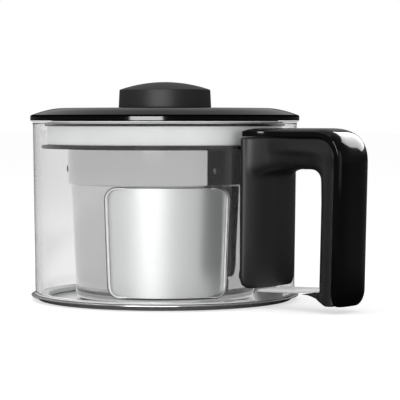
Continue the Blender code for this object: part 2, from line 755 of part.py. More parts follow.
def make_handle_bracket():
    """Return the steel strap with its tab on the glass and its tongue in the foot."""
    foot = PAN_RIM_HEIGHT + SEAT_GAP
    radius = glass_radius(foot) + SEAT_GAP
    top = bracket_height(radius) - BRACKET_SHEET / 2
    half_angle = asin(BRACKET_HALF_WIDTH / (radius + BRACKET_SHEET))
    item = turned("handle_bracket", [
        (radius + BRACKET_SHEET, top),
        (radius + BRACKET_SHEET, foot),
        (radius, foot),
        (radius, top),
    ], steps=6, half_angle=half_angle)
    half = BRACKET_HALF_WIDTH
    tongue = tongue_outline(radius + BRACKET_SHEET / 3, BRACKET_TIP_REACH, 0.0)
    combine(item, prism("tongue", [tongue], -half, half, side_frame()), "UNION")
    for side in (-FOOT_SCREW_SPREAD, FOOT_SCREW_SPREAD):
        low = BRACKET_HEIGHT - CUT_OVERRUN
        high = BRACKET_HEIGHT + BRACKET_FIRST_RISE + BRACKET_SECOND_RISE + CUT_OVERRUN
        hole = drill("hole", FOOT_SCREW_RADIUS + SEAT_GAP, low, high, (FOOT_SCREW_REACH, side))
        combine(item, hole, "DIFFERENCE")
    return item


def make_foot_screw(name, side):
    """Return one screw of the foot, head down, placed at its side of the leg."""
    head = FOOT_SCREW_HEAD_HEIGHT
    item = turned(name, [
        (0.0, FOOT_SCREW_LENGTH),
        (FOOT_SCREW_RADIUS, FOOT_SCREW_LENGTH),
        (FOOT_SCREW_RADIUS, 0.0),
        (FOOT_SCREW_HEAD_RADIUS, 0.0),
        (FOOT_SCREW_HEAD_RADIUS, -head),
        (0.0, -head),
    ], closed=False, steps=SMALL_STEPS)
    bed = bracket_height(FOOT_SCREW_REACH) - BRACKET_SHEET - SEAT_GAP - FOOT_SCREW_BED
    item.location = (FOOT_SCREW_REACH, side, bed - SEAT_GAP)
    return item


def make_foot_insert(name, side):
    """Return one threaded insert that a foot screw enters."""
    bore = FOOT_SCREW_RADIUS + SEAT_GAP
    item = turned(name, [
        (FOOT_INSERT_RADIUS, FOOT_INSERT_LENGTH),
        (FOOT_INSERT_RADIUS, 0.0),
        (bore, 0.0),
        (bore, FOOT_INSERT_LENGTH),
    ], steps=SMALL_STEPS)
    rise = BRACKET_SHEET * 2
    item.location = (FOOT_SCREW_REACH, side, bracket_height(FOOT_SCREW_REACH) + rise)
    return item


def sleeve_radius(height):
    """Return the outer radius of the collar's sleeve inside the cup's band."""
    return band_radius(height) - CUP_SHEET - SEAT_GAP


def make_infuser_collar():
    """Return the collar: flange on the glass rim, round wall, step and sleeve."""
    sheet, bend = COLLAR_SHEET, COLLAR_BEND_RADIUS
    step_top = COLLAR_STEP_Z + sheet
    top_radius = sleeve_radius(COLLAR_STEP_Z)
    foot_radius = sleeve_radius(SLEEVE_FOOT_Z)
    profile = rounded([
        (COLLAR_FLANGE_RADIUS, sheet, 0.0),
        (COLLAR_FLANGE_RADIUS, 0.0, 0.0),
        (COLLAR_RADIUS, 0.0, 0.0),
        (COLLAR_RADIUS, COLLAR_STEP_Z, COLLAR_CORNER_RADIUS),
        (top_radius, COLLAR_STEP_Z, 0.0),
        (foot_radius, SLEEVE_FOOT_Z, 0.0),
        (foot_radius - sheet, SLEEVE_FOOT_Z, 0.0),
        (top_radius - sheet, step_top, bend),
        (COLLAR_BORE_RADIUS, step_top, COLLAR_CORNER_RADIUS - sheet),
        (COLLAR_BORE_RADIUS, sheet, bend),
    ], segments=1)
    item = turned("infuser_collar", profile)
    for angle in turn_angles(RIVET_FIRST_ANGLE, WINDOW_COUNT):
        combine(item, rivet_drill(angle), "DIFFERENCE")
    return item


def make_collar_seal():
    """Return the dark ring round the top of the collar, under its flange."""
    inner = COLLAR_RADIUS + SEAT_GAP
    outer = inner + COLLAR_SEAL_WIDTH
    return turned("collar_seal", [
        (outer, -SEAT_GAP),
        (outer, -COLLAR_SEAL_DEPTH),
        (inner, -COLLAR_SEAL_DEPTH),
        (inner, -SEAT_GAP),
    ])


def make_bumper():
    """Return the dark silicone ring between the collar's step and the cup."""
    foot = BUMPER_TOP_Z - BUMPER_THICKNESS
    inner = sleeve_radius(BUMPER_TOP_Z) + SEAT_GAP
    profile = rounded([
        (BUMPER_RADIUS, BUMPER_TOP_Z, BUMPER_EDGE_RADIUS),
        (BUMPER_RADIUS, foot, BUMPER_EDGE_RADIUS),
        (inner, foot, 0.0),
        (inner, BUMPER_TOP_Z, 0.0),
    ], segments=1)
    return turned("infuser_ring", profile)


def window_outline(inset):
    """Return a window's outline (across, height), drawn in by an inset."""
    top_half = cup_radius(WINDOW_TOP_Z) * sin(WINDOW_TOP_HALF_ANGLE)
    foot_half = cup_radius(WINDOW_FOOT_Z) * sin(WINDOW_FOOT_HALF_ANGLE)
    slope = (top_half - foot_half) / (WINDOW_TOP_Z - WINDOW_FOOT_Z)
    side_inset = inset * sqrt(1 + slope * slope)
    radius = max(WINDOW_CORNER_RADIUS - inset, SEAT_GAP)
    top = top_half - side_inset - slope * inset
    foot = foot_half - side_inset + slope * inset
    return rounded([
        (-top, WINDOW_TOP_Z - inset, radius),
        (-foot, WINDOW_FOOT_Z + inset, radius),
        (foot, WINDOW_FOOT_Z + inset, radius),
        (top, WINDOW_TOP_Z - inset, radius),
    ], segments=3)


def window_prism(name, angle, insets):
    """Return a prism through the cup's wall at an angle, from outlines by inset."""
    start = cup_radius(WINDOW_FOOT_Z) * PRISM_START_SHARE
    end = cup_radius(WINDOW_TOP_Z) * PRISM_END_SHARE
    facing = Matrix(((0, 0, 1, 0), (1, 0, 0, 0), (0, 1, 0, 0), (0, 0, 0, 1)))
    frame = Matrix.Rotation(angle, 4, "Z") @ facing
    return prism(name, [window_outline(inset) for inset in insets], start, end, frame)


def cup_shell(name, outer, inner):
    """Return a tapered shell round the windows, between two offsets from the cup."""
    top = WINDOW_TOP_Z + CUT_OVERRUN
    foot = WINDOW_FOOT_Z - CUT_OVERRUN
    return turned(name, [
        (cup_radius(top) + outer, top),
        (cup_radius(foot) + outer, foot),
        (cup_radius(foot) + inner, foot),
        (cup_radius(top) + inner, top),
    ])


def turn_angles(first, count):
    """Return evenly spaced angles round the axis."""
    return [first + 2 * pi * index / count for index in range(count)]


def rivet_height():
    """Return the height of the rivets in the infuser's frame."""
    return CUP_TOP_Z - RIVET_DROP


def rivet_drill(angle):
    """Return a cutter for one rivet hole through the cup and the sleeve."""
    height = rivet_height()
    radius = band_radius(height)
    tool = drill("rivet_hole", RIVET_RADIUS + SEAT_GAP, radius - CUT_OVERRUN, radius + CUT_OVERRUN, (0.0, 0.0))
    tool.data.transform(Matrix.Rotation(angle, 4, "Z") @ Matrix.Rotation(pi / 2, 4, "Y"))
    tool.data.transform(Matrix.Translation((0.0, 0.0, height)))
    return tool


def make_infuser_cup():
    """Return the tapered basket under its wider band, with windows and rivet holes."""
    sheet = CUP_SHEET
    land = CUP_FOOT_RADIUS - CUP_FLOOR_LAND
    profile = rounded([
        (CUP_TOP_RADIUS, CUP_TOP_Z, 0.0),
        (BAND_FOOT_RADIUS, BAND_FOOT_Z, 0.0),
        (BODY_TOP_RADIUS, BODY_TOP_Z, 0.0),
        (CUP_FOOT_RADIUS, CUP_FOOT_Z, CUP_CORNER_RADIUS),
        (land, CUP_FOOT_Z, 0.0),
        (land, CUP_FOOT_Z + sheet, 0.0),
        (CUP_FOOT_RADIUS - sheet, CUP_FOOT_Z + sheet, CUP_CORNER_RADIUS - sheet),
        (BODY_TOP_RADIUS - sheet, BODY_TOP_Z + sheet, 0.0),
        (BAND_FOOT_RADIUS - sheet, BAND_FOOT_Z + sheet, 0.0),
        (CUP_TOP_RADIUS - sheet, CUP_TOP_Z, 0.0),
    ], segments=1)
    item = turned("infuser_cup", profile)
    for angle in turn_angles(WINDOW_FIRST_ANGLE, WINDOW_COUNT):
        combine(item, window_prism("opening", angle, [0.0]), "DIFFERENCE")
    for angle in turn_angles(RIVET_FIRST_ANGLE, WINDOW_COUNT):
        combine(item, rivet_drill(angle), "DIFFERENCE")
    return item


def make_mesh_frame(name, angle):
    """Return the polished bead that lines one window of the cup."""
    item = cup_shell(name, FRAME_PROUD, SEAT_GAP - PANEL_RECESS)
    ring = window_prism("bead", angle, [SEAT_GAP, SEAT_GAP + FRAME_BEAD_WIDTH])
    return combine(item, ring, "INTERSECT")


def make_mesh_panel(name, angle):
    """Return the curved mesh sheet that lies behind one window's bead."""
    item = cup_shell(name, -PANEL_RECESS, -PANEL_RECESS - PANEL_SHEET)
    inset = SEAT_GAP + FRAME_BEAD_WIDTH - PANEL_LAP
    return combine(item, window_prism("sheet", angle, [inset]), "INTERSECT")


def make_infuser_floor():
    """Return the strainer disc that lies on the cup's inner land."""
    foot = CUP_FOOT_Z + CUP_SHEET + SEAT_GAP
    radius = CUP_FOOT_RADIUS - CUP_SHEET - 2 * SEAT_GAP
    return turned("infuser_floor", [
        (0.0, foot + STRAINER_SHEET + STRAINER_RISE),
        (radius * 0.5, foot + STRAINER_SHEET + STRAINER_RISE),
        (radius - CUP_FLOOR_LAND, foot + STRAINER_SHEET),
        (radius, foot + STRAINER_SHEET),
        (radius, foot),
        (radius - CUP_FLOOR_LAND, foot),
        (radius * 0.5, foot + STRAINER_RISE),
        (0.0, foot + STRAINER_RISE),
    ], closed=False)


def make_rivet(name, angle):
    """Return one rivet through the cup and the sleeve, with a head on each side."""
    outside = SEAT_GAP
    inside = -CUP_SHEET - SEAT_GAP - COLLAR_SHEET - SEAT_GAP
    head = RIVET_HEAD_HEIGHT
    item = turned(name, [
        (0.0, outside + head),
        (RIVET_HEAD_RADIUS * 0.6, outside + head * 0.85),
        (RIVET_HEAD_RADIUS, outside + head * 0.3),
        (RIVET_HEAD_RADIUS, outside),
        (RIVET_RADIUS, outside),
        (RIVET_RADIUS, inside),
        (RIVET_HEAD_RADIUS, inside),
        (RIVET_HEAD_RADIUS, inside - head),
        (0.0, inside - head),
    ], closed=False, steps=12)
    height = rivet_height()
    radius = band_radius(height)
    item.rotation_euler = (0.0, pi / 2, angle)
    item.location = (radius * cos(angle), radius * sin(angle), height)
    return item


def lid_underside(radius):
    """Return the height of the lid's inner slope at a radius, in the lid's frame."""
    drop = LID_HEIGHT - LID_RIM_HEIGHT
    share = (radius - LID_FLAT_RADIUS) / (LID_RADIUS - LID_FLAT_RADIUS)
    return LID_HEIGHT - LID_WALL - drop * max(share, 0.0)


def make_lid_cover():
    """Return the black lid: flat centre, broad sloped border and upright rim."""
    edge = LID_EDGE_RADIUS
    rim_inner = LID_RADIUS - LID_WALL
    profile = rounded([
        (SCREW_BORE_RADIUS, LID_HEIGHT, 0.0),
        (LID_FLAT_RADIUS, LID_HEIGHT, edge * 2),
        (LID_RADIUS, LID_RIM_HEIGHT, edge),
        (LID_RADIUS, 0.0, edge / 2),
        (rim_inner, 0.0, 0.0),
        (rim_inner, lid_underside(rim_inner), 0.0),
        (LID_FLAT_RADIUS, LID_HEIGHT - LID_WALL, 0.0),
        (SCREW_BORE_RADIUS, LID_HEIGHT - LID_WALL, 0.0),
    ], segments=1)
    return turned("lid_cover", profile)


def liner_plate_z():
    """Return the height of the liner's upper face in the lid's frame."""
    return LID_HEIGHT - LID_WALL - SEAT_GAP


def make_lid_liner():
    """Return the liner plate with the skirt that drops into the collar."""
    top = liner_plate_z()
    wall = LINER_WALL
    shoulder = lid_underside(LINER_RADIUS) - 2 * SEAT_GAP
    shelf_foot = -LINER_DEPTH
    shelf_top = shelf_foot + LINER_FOOT_HEIGHT
    shelf = LINER_RADIUS + LINER_PLAY / 2
    return turned("lid_liner", [
        (SCREW_BORE_RADIUS, top),
        (LID_FLAT_RADIUS - SEAT_GAP, top),
        (LINER_RADIUS, shoulder),
        (LINER_RADIUS, shelf_top),
        (shelf, shelf_top),
        (shelf, shelf_foot),
        (LINER_RADIUS - wall, shelf_foot),
        (LINER_RADIUS - wall, shoulder - wall),
        (LID_FLAT_RADIUS - wall, top - wall),
        (SCREW_BORE_RADIUS, top - wall),
    ])


def make_lid_gasket():
    """Return the soft ring round the liner's skirt, on its lower shelf."""
    foot = -LINER_DEPTH + LINER_FOOT_HEIGHT + SEAT_GAP
    inner = LINER_RADIUS + SEAT_GAP
    outer = COLLAR_BORE_RADIUS - SEAT_GAP
    return turned("lid_gasket", [
        (outer, foot + GASKET_HEIGHT),
        (outer, foot),
        (inner, foot),
        (inner, foot + GASKET_HEIGHT),
    ])


def make_lid_knob():
    """Return the round knob with its shallow dome and a bore for its insert."""
    foot = LID_HEIGHT + SEAT_GAP
    edge = foot + KNOB_SIDE_HEIGHT
    sphere = (KNOB_TOP_RADIUS ** 2 + KNOB_DOME_HEIGHT ** 2) / (2 * KNOB_DOME_HEIGHT)
    peak = edge + KNOB_DOME_HEIGHT
    corners = [(0.0, peak, 0.0)]
    for share in (0.25, 0.5, 0.75):
        radius = KNOB_TOP_RADIUS * share
        corners.append((radius, peak - sphere + sqrt(sphere ** 2 - radius ** 2), 0.0))
    corners += [
        (KNOB_TOP_RADIUS, edge, KNOB_EDGE_RADIUS),
        (KNOB_FOOT_RADIUS, foot, KNOB_EDGE_RADIUS),
        (KNOB_BORE_RADIUS, foot, 0.0),
        (KNOB_BORE_RADIUS, foot + KNOB_INSERT_LENGTH + 2 * SEAT_GAP, 0.0),
        (0.0, foot + KNOB_INSERT_LENGTH + 2 * SEAT_GAP, 0.0),
    ]
    return turned("lid_knob", rounded(corners, closed=False, segments=1), closed=False)


def make_knob_insert():
    """Return the threaded insert in the knob."""
    foot = LID_HEIGHT + 2 * SEAT_GAP
    return turned("knob_insert", [
        (KNOB_INSERT_RADIUS, foot + KNOB_INSERT_LENGTH),
        (KNOB_INSERT_RADIUS, foot),
        (SCREW_BORE_RADIUS, foot),
        (SCREW_BORE_RADIUS, foot + KNOB_INSERT_LENGTH),
    ], steps=SMALL_STEPS)


def make_knob_washer():
    """Return the washer under the liner's plate."""
    top = liner_plate_z() - LINER_WALL - SEAT_GAP
    return turned("knob_washer", [
        (WASHER_RADIUS, top),
        (WASHER_RADIUS, top - WASHER_THICKNESS),
        (SCREW_BORE_RADIUS, top - WASHER_THICKNESS),
        (SCREW_BORE_RADIUS, top),
    ], steps=SMALL_STEPS)


def make_knob_screw():
    """Return the screw that holds the knob, the lid and the liner together."""
    seat = liner_plate_z() - LINER_WALL - SEAT_GAP - WASHER_THICKNESS - SEAT_GAP
    return turned("knob_screw", [
        (0.0, seat + KNOB_SCREW_LENGTH),
        (KNOB_SCREW_RADIUS, seat + KNOB_SCREW_LENGTH),
        (KNOB_SCREW_RADIUS, seat),
        (KNOB_HEAD_RADIUS, seat),
        (KNOB_HEAD_RADIUS * 0.8, seat - KNOB_HEAD_HEIGHT),
        (0.0, seat - KNOB_HEAD_HEIGHT),
    ], closed=False, steps=SMALL_STEPS)


clear_scene()
PARTS = make_collection("glass_tea_jug")
CUTTERS = make_collection("glass_tea_jug_cutters")

glass = make_material("clear_glass", (0.90, 0.92, 0.92), 0.03, transmission=1.0)
polished = make_material("polished_steel", (0.72, 0.72, 0.72), 0.18, metallic=1.0)
brushed = make_material("brushed_steel", (0.55, 0.55, 0.55), 0.35, metallic=1.0)
woven = make_material("steel_mesh", (0.62, 0.62, 0.62), 0.45, metallic=1.0)
black = make_material("black_plastic", (0.02, 0.02, 0.02), 0.30)
soft_black = make_material("dark_silicone", (0.06, 0.06, 0.06), 0.60)
clear_seal = make_material("translucent_silicone", (0.72, 0.72, 0.70), 0.50)
bond_grey = make_material("bond", (0.10, 0.10, 0.10), 0.60)
brass = make_material("brass", (0.60, 0.42, 0.18), 0.35, metallic=1.0)

jug = body_empty("jug_body", 0.0)
infuser = body_empty("infuser_body", INFUSER_SEAT_Z, jug)
lid = body_empty("lid_body", LID_SEAT_Z - INFUSER_SEAT_Z, infuser)

own(make_base_pan(), jug, polished)
own(make_base_seal(), jug, clear_seal)
own(make_glass_jug(), jug, glass)
own(make_bond(), jug, bond_grey)
own(make_handle_body(), jug, black)
own(make_handle_cover(), jug, black)
own(make_handle_bracket(), jug, brushed)
for number, spread in enumerate((-FOOT_SCREW_SPREAD, FOOT_SCREW_SPREAD), 1):
    own(make_foot_screw(f"foot_screw_{number}", spread), jug, brushed)
    own(make_foot_insert(f"foot_insert_{number}", spread), jug, brass)

own(make_infuser_collar(), infuser, brushed)
own(make_collar_seal(), infuser, soft_black)
own(make_bumper(), infuser, soft_black)
own(make_infuser_cup(), infuser, brushed)
own(make_infuser_floor(), infuser, woven)
for number, place in enumerate(turn_angles(WINDOW_FIRST_ANGLE, WINDOW_COUNT), 1):
    own(make_mesh_frame(f"mesh_frame_{number}", place), infuser, polished)
    own(make_mesh_panel(f"mesh_panel_{number}", place), infuser, woven)
for number, place in enumerate(turn_angles(RIVET_FIRST_ANGLE, WINDOW_COUNT), 1):
    own(make_rivet(f"infuser_rivet_{number}", place), infuser, polished)

own(make_lid_cover(), lid, black)
own(make_lid_liner(), lid, black)
own(make_lid_gasket(), lid, soft_black)
own(make_lid_knob(), lid, black)
own(make_knob_insert(), lid, brass)
own(make_knob_washer(), lid, brushed)
own(make_knob_screw(), lid, brushed)

bpy.data.collections.remove(CUTTERS)
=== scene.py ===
"""Dressed scene of a glass tea jug with a lift-out steel infuser, a black lid and a handle.

All sizes are in metres and +Z is up. The jug stands on Z = 0 with its axis on the Z
axis, and the handle lies along +X.
"""

import json
import logging
from dataclasses import dataclass, field
from enum import Enum
from math import asin, atan, atan2, cos, hypot, pi, radians, sin, sqrt, tan
from typing import Any, Callable, Sequence

import bmesh
import bpy
from mathutils import Matrix, Vector

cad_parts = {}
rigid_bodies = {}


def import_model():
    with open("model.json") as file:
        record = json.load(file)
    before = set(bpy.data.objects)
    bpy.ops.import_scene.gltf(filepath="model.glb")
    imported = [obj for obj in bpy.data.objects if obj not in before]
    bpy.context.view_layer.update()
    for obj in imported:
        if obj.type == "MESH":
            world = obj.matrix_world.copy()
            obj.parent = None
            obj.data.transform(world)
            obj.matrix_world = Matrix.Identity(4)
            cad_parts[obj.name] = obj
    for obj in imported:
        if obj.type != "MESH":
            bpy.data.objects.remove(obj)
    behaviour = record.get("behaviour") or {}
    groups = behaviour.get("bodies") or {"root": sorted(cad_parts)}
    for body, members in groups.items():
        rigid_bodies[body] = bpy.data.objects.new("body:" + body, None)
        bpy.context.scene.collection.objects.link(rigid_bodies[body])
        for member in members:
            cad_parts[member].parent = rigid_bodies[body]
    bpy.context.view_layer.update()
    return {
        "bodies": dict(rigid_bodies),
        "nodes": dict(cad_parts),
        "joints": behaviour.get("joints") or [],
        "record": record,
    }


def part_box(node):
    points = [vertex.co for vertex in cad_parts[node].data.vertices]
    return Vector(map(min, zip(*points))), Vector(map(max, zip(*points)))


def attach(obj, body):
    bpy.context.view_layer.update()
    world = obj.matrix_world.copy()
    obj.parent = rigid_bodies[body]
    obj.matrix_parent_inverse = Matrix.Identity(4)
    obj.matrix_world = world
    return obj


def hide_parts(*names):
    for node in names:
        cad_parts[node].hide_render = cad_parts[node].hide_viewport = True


LOG = logging.getLogger("glass_tea_jug")
GAP = 0.0003
WELD = 0.00001
ROUND_STEPS = 240

Point = tuple[float, float]
Corner = tuple[float, float, float]


class Lay(Enum):
    """Way in which the marks of a metal finish run."""

    RINGS_UP = "rings stacked up the axis"
    RINGS_OUT = "rings spread out from the axis"
    ALONG_X = "straight lines along X"


class Body(Enum):
    """Moving group that a piece rides with."""

    JUG = "jug"
    INFUSER = "infuser"
    LID = "lid"


def srgb(hex_colour: str) -> tuple[float, float, float, float]:
    """Turn an sRGB hex value into linear colour.

    Args:
        hex_colour: Colour such as "#b5b5b5".

    Returns:
        Linear red, green, blue and an alpha of one.
    """
    channels = [int(hex_colour[place:place + 2], 16) / 255 for place in (1, 3, 5)]
    linear = [c / 12.92 if c <= 0.04045 else ((c + 0.055) / 1.055) ** 2.4 for c in channels]
    return (linear[0], linear[1], linear[2], 1.0)


def add_node(
    tree: bpy.types.NodeTree,
    kind: str,
    values: dict[Any, Any] | None = None,
    links: dict[Any, bpy.types.NodeSocket] | None = None,
    **settings: Any,
) -> bpy.types.Node:
    """Add one node with its settings, input values and links.

    Args:
        tree: Node tree that gets the node.
        kind: Type name of the node.
        values: Input values by socket name or index.
        links: Output sockets by the name or index of the input that they feed.
        **settings: Properties of the node.

    Returns:
        The new node.
    """
    node = tree.nodes.new(kind)
    for name, value in settings.items():
        setattr(node, name, value)
    for key, value in (values or {}).items():
        node.inputs[key].default_value = value
    for key, socket in (links or {}).items():
        tree.links.new(socket, node.inputs[key])
    return node


def open_material(name: str) -> tuple[bpy.types.Material, bpy.types.NodeTree, bpy.types.Node]:
    """Start a material from its Principled shader alone.

    Args:
        name: Name of the real material and process.

    Returns:
        The material, its node tree and its Principled shader, linked to the output.
    """
    material = bpy.data.materials.new(name)
    material.use_nodes = True
    tree = material.node_tree
    tree.nodes.clear()
    shader = add_node(tree, "ShaderNodeBsdfPrincipled")
    add_node(tree, "ShaderNodeOutputMaterial", links={"Surface": shader.outputs[0]})
    return material, tree, shader


@dataclass(frozen=True)
class MouldedPlastic:
    """Injection moulded plastic, with the grain or polish of its mould.

    A fine even grain scatters the light into a soft sheen. A polished mould leaves a
    faint waviness that only bends the reflections a little.
    """

    name: str
    colour: str
    roughness: float
    specular: float
    grain: float
    relief: float
    uneven: float = 0.04
    ior: float = 1.5

    def material(self) -> bpy.types.Material:
        """Build the plastic's material.

        Returns:
            The material, with the grain or polish of its mould.
        """
        material, tree, shader = open_material(self.name)
        base = srgb(self.colour)
        shader.inputs["IOR"].default_value = self.ior
        shader.inputs["Specular IOR Level"].default_value = self.specular
        place = add_node(tree, "ShaderNodeTexCoord")
        clouds = add_node(
            tree, "ShaderNodeTexNoise", {"Scale": 60.0, "Detail": 3.0},
            {"Vector": place.outputs["Object"]},
        )
        lighter = tuple(channel * 1.25 for channel in base[:3]) + (1.0,)
        tone = add_node(
            tree, "ShaderNodeMix", {6: base, 7: lighter}, {0: clouds.outputs[0]}, data_type="RGBA"
        )
        tree.links.new(tone.outputs[2], shader.inputs["Base Color"])
        rough = add_node(
            tree, "ShaderNodeMapRange",
            {3: self.roughness - self.uneven / 2, 4: self.roughness + self.uneven / 2},
            {0: clouds.outputs[0]},
        )
        tree.links.new(rough.outputs[0], shader.inputs["Roughness"])
        grain = add_node(
            tree, "ShaderNodeTexNoise", {"Scale": 1.0 / self.grain, "Detail": 2.0},
            {"Vector": place.outputs["Object"]},
        )
        bump = add_node(
            tree, "ShaderNodeBump", {"Strength": 0.6, "Distance": self.relief},
            {"Height": grain.outputs[0]},
        )
        tree.links.new(bump.outputs[0], shader.inputs["Normal"])
        return material


@dataclass(frozen=True)
class LidPlastic(MouldedPlastic):
    """Gloss plastic of the lid, whose moulded edge round is left dull.

    The parting line of the mould runs round the rim's top edge, and its thin dull line
    keeps the slope and the upright rim apart.
    """

    edge_height: float = 0.10395
    edge_half: float = 0.0005

    def material(self) -> bpy.types.Material:
        """Build the lid's material.

        Returns:
            The plastic's material with no shine on the rim's edge round.
        """
        material = super().material()
        tree = material.node_tree
        shader = next(node for node in tree.nodes if node.type == "BSDF_PRINCIPLED")
        place = add_node(tree, "ShaderNodeTexCoord")
        height = add_node(tree, "ShaderNodeSeparateXYZ", links={"Vector": place.outputs["Object"]})
        edge = add_node(
            tree, "ShaderNodeMath", {1: self.edge_height, 2: self.edge_half},
            {0: height.outputs["Z"]}, operation="COMPARE",
        )
        polish = add_node(
            tree, "ShaderNodeMapRange", {3: self.specular, 4: 0.0}, {0: edge.outputs[0]}
        )
        tree.links.new(polish.outputs[0], shader.inputs["Specular IOR Level"])
        return material


@dataclass(frozen=True)
class FinishedSteel:
    """Stainless steel sheet, polished or brushed along one lay.

    The lines of the lay stretch the reflections across them and give the sheet its
    soft grey, and the polish decides how sharp its surroundings show. A satin finish
    scatters part of the light evenly, which keeps it pale from every side.
    """

    name: str
    colour: str
    roughness: float
    lay: Lay
    line: float
    relief: float
    contrast: float = 0.04
    metal: float = 1.0

    def material(self) -> bpy.types.Material:
        """Build the steel's material.

        Returns:
            The material, with fine lines along its lay.
        """
        material, tree, shader = open_material(self.name)
        base = srgb(self.colour)
        shader.inputs["Metallic"].default_value = self.metal
        place = add_node(tree, "ShaderNodeTexCoord")
        if self.lay is Lay.RINGS_OUT:
            parts = add_node(tree, "ShaderNodeSeparateXYZ", links={0: place.outputs["Object"]})
            flat = add_node(
                tree, "ShaderNodeCombineXYZ", links={0: parts.outputs[0], 1: parts.outputs[1]}
            )
            out = add_node(tree, "ShaderNodeVectorMath", links={0: flat.outputs[0]}, operation="LENGTH")
            along = add_node(tree, "ShaderNodeCombineXYZ", links={0: out.outputs["Value"]})
            source, scale = along.outputs[0], (1.0 / self.line, 1.0, 1.0)
        elif self.lay is Lay.RINGS_UP:
            source, scale = place.outputs["Object"], (12.0, 12.0, 1.0 / self.line)
        else:
            source, scale = place.outputs["Object"], (12.0, 1.0 / self.line, 1.0 / self.line)
        mapping = add_node(tree, "ShaderNodeMapping", {"Scale": scale}, {"Vector": source})
        lines = add_node(
            tree, "ShaderNodeTexNoise", {"Scale": 1.0, "Detail": 3.0, "Roughness": 0.7},
            {"Vector": mapping.outputs[0]},
        )
        darker = tuple(channel * (1 - self.contrast) for channel in base[:3]) + (1.0,)
        tone = add_node(
            tree, "ShaderNodeMix", {6: darker, 7: base}, {0: lines.outputs[0]}, data_type="RGBA"
        )
        tree.links.new(tone.outputs[2], shader.inputs["Base Color"])
        rough = add_node(
            tree, "ShaderNodeMapRange", {3: self.roughness * 0.85, 4: self.roughness * 1.15},
            {0: lines.outputs[0]},
        )
        tree.links.new(rough.outputs[0], shader.inputs["Roughness"])
        bump = add_node(
            tree, "ShaderNodeBump", {"Strength": 0.5, "Distance": self.relief},
            {"Height": lines.outputs[0]},
        )
        tree.links.new(bump.outputs[0], shader.inputs["Normal"])
        return material


@dataclass(frozen=True)
class WovenSteel:
    """Fine woven steel cloth, rolled flat.

    The threads are finer than the eye resolves at arm's length, so the cloth looks
    like satin metal with a faint weave, which is drawn coarser than the real one.
    """

    name: str
    colour: str
    roughness: float
    thread: float
    relief: float
    metal: float = 1.0

    def material(self) -> bpy.types.Material:
        """Build the cloth's material.

        Returns:
            The material, whose weave follows the piece's UV map in metres.
        """
        material, tree, shader = open_material(self.name)
        shader.inputs["Metallic"].default_value = self.metal
        base = srgb(self.colour)
        place = add_node(tree, "ShaderNodeTexCoord")
        parts = add_node(tree, "ShaderNodeSeparateXYZ", links={0: place.outputs["UV"]})
        waves = []
        for axis in (0, 1):
            turn = add_node(
                tree, "ShaderNodeMath", {1: 2 * pi / self.thread}, {0: parts.outputs[axis]},
                operation="MULTIPLY",
            )
            waves.append(add_node(tree, "ShaderNodeMath", links={0: turn.outputs[0]}, operation="SINE"))
        weave = add_node(
            tree, "ShaderNodeMath", links={0: waves[0].outputs[0], 1: waves[1].outputs[0]},
            operation="MULTIPLY",
        )
        level = add_node(tree, "ShaderNodeMapRange", {1: -1.0, 2: 1.0}, {0: weave.outputs[0]})
        darker = tuple(channel * 0.93 for channel in base[:3]) + (1.0,)
        tone = add_node(
            tree, "ShaderNodeMix", {6: darker, 7: base}, {0: level.outputs[0]}, data_type="RGBA"
        )
        tree.links.new(tone.outputs[2], shader.inputs["Base Color"])
        rough = add_node(
            tree, "ShaderNodeMapRange", {3: self.roughness + 0.03, 4: self.roughness - 0.03},
            {0: level.outputs[0]},
        )
        tree.links.new(rough.outputs[0], shader.inputs["Roughness"])
        bump = add_node(
            tree, "ShaderNodeBump", {"Strength": 0.35, "Distance": self.relief},
            {"Height": level.outputs[0]},
        )
        tree.links.new(bump.outputs[0], shader.inputs["Normal"])
        return material


@dataclass(frozen=True)
class DrawnGlass:
    """Clear borosilicate tube, drawn and fire polished.

    Drawing leaves a very slow ripple up the wall, which bends what is seen through it
    a little, and the edges gather a faint grey.
    """

    name: str
    tint: str
    ior: float
    ripple: float
    relief: float

    def material(self) -> bpy.types.Material:
        """Build the glass's material.

        Returns:
            The material, which lets the lamps' light through to what the glass holds.
        """
        material, tree, shader = open_material(self.name)
        shader.inputs["Base Color"].default_value = srgb(self.tint)
        shader.inputs["Transmission Weight"].default_value = 1.0
        shader.inputs["IOR"].default_value = self.ior
        place = add_node(tree, "ShaderNodeTexCoord")
        mapping = add_node(
            tree, "ShaderNodeMapping",
            {"Scale": (1.0 / self.ripple, 1.0 / self.ripple, 0.25 / self.ripple)},
            {"Vector": place.outputs["Object"]},
        )
        ripples = add_node(
            tree, "ShaderNodeTexNoise", {"Scale": 1.0, "Detail": 1.0}, {"Vector": mapping.outputs[0]}
        )
        rough = add_node(tree, "ShaderNodeMapRange", {3: 0.0, 4: 0.02}, {0: ripples.outputs[0]})
        tree.links.new(rough.outputs[0], shader.inputs["Roughness"])
        bump = add_node(
            tree, "ShaderNodeBump", {"Strength": 0.4, "Distance": self.relief},
            {"Height": ripples.outputs[0]},
        )
        tree.links.new(bump.outputs[0], shader.inputs["Normal"])
        clear = add_node(tree, "ShaderNodeBsdfTransparent", {"Color": srgb("#f2f4f4")})
        path = add_node(tree, "ShaderNodeLightPath")
        mixed = add_node(
            tree, "ShaderNodeMixShader",
            links={0: path.outputs["Is Shadow Ray"], 1: shader.outputs[0], 2: clear.outputs[0]},
        )
        output = next(node for node in tree.nodes if node.type == "OUTPUT_MATERIAL")
        tree.links.new(mixed.outputs[0], output.inputs["Surface"])
        return material


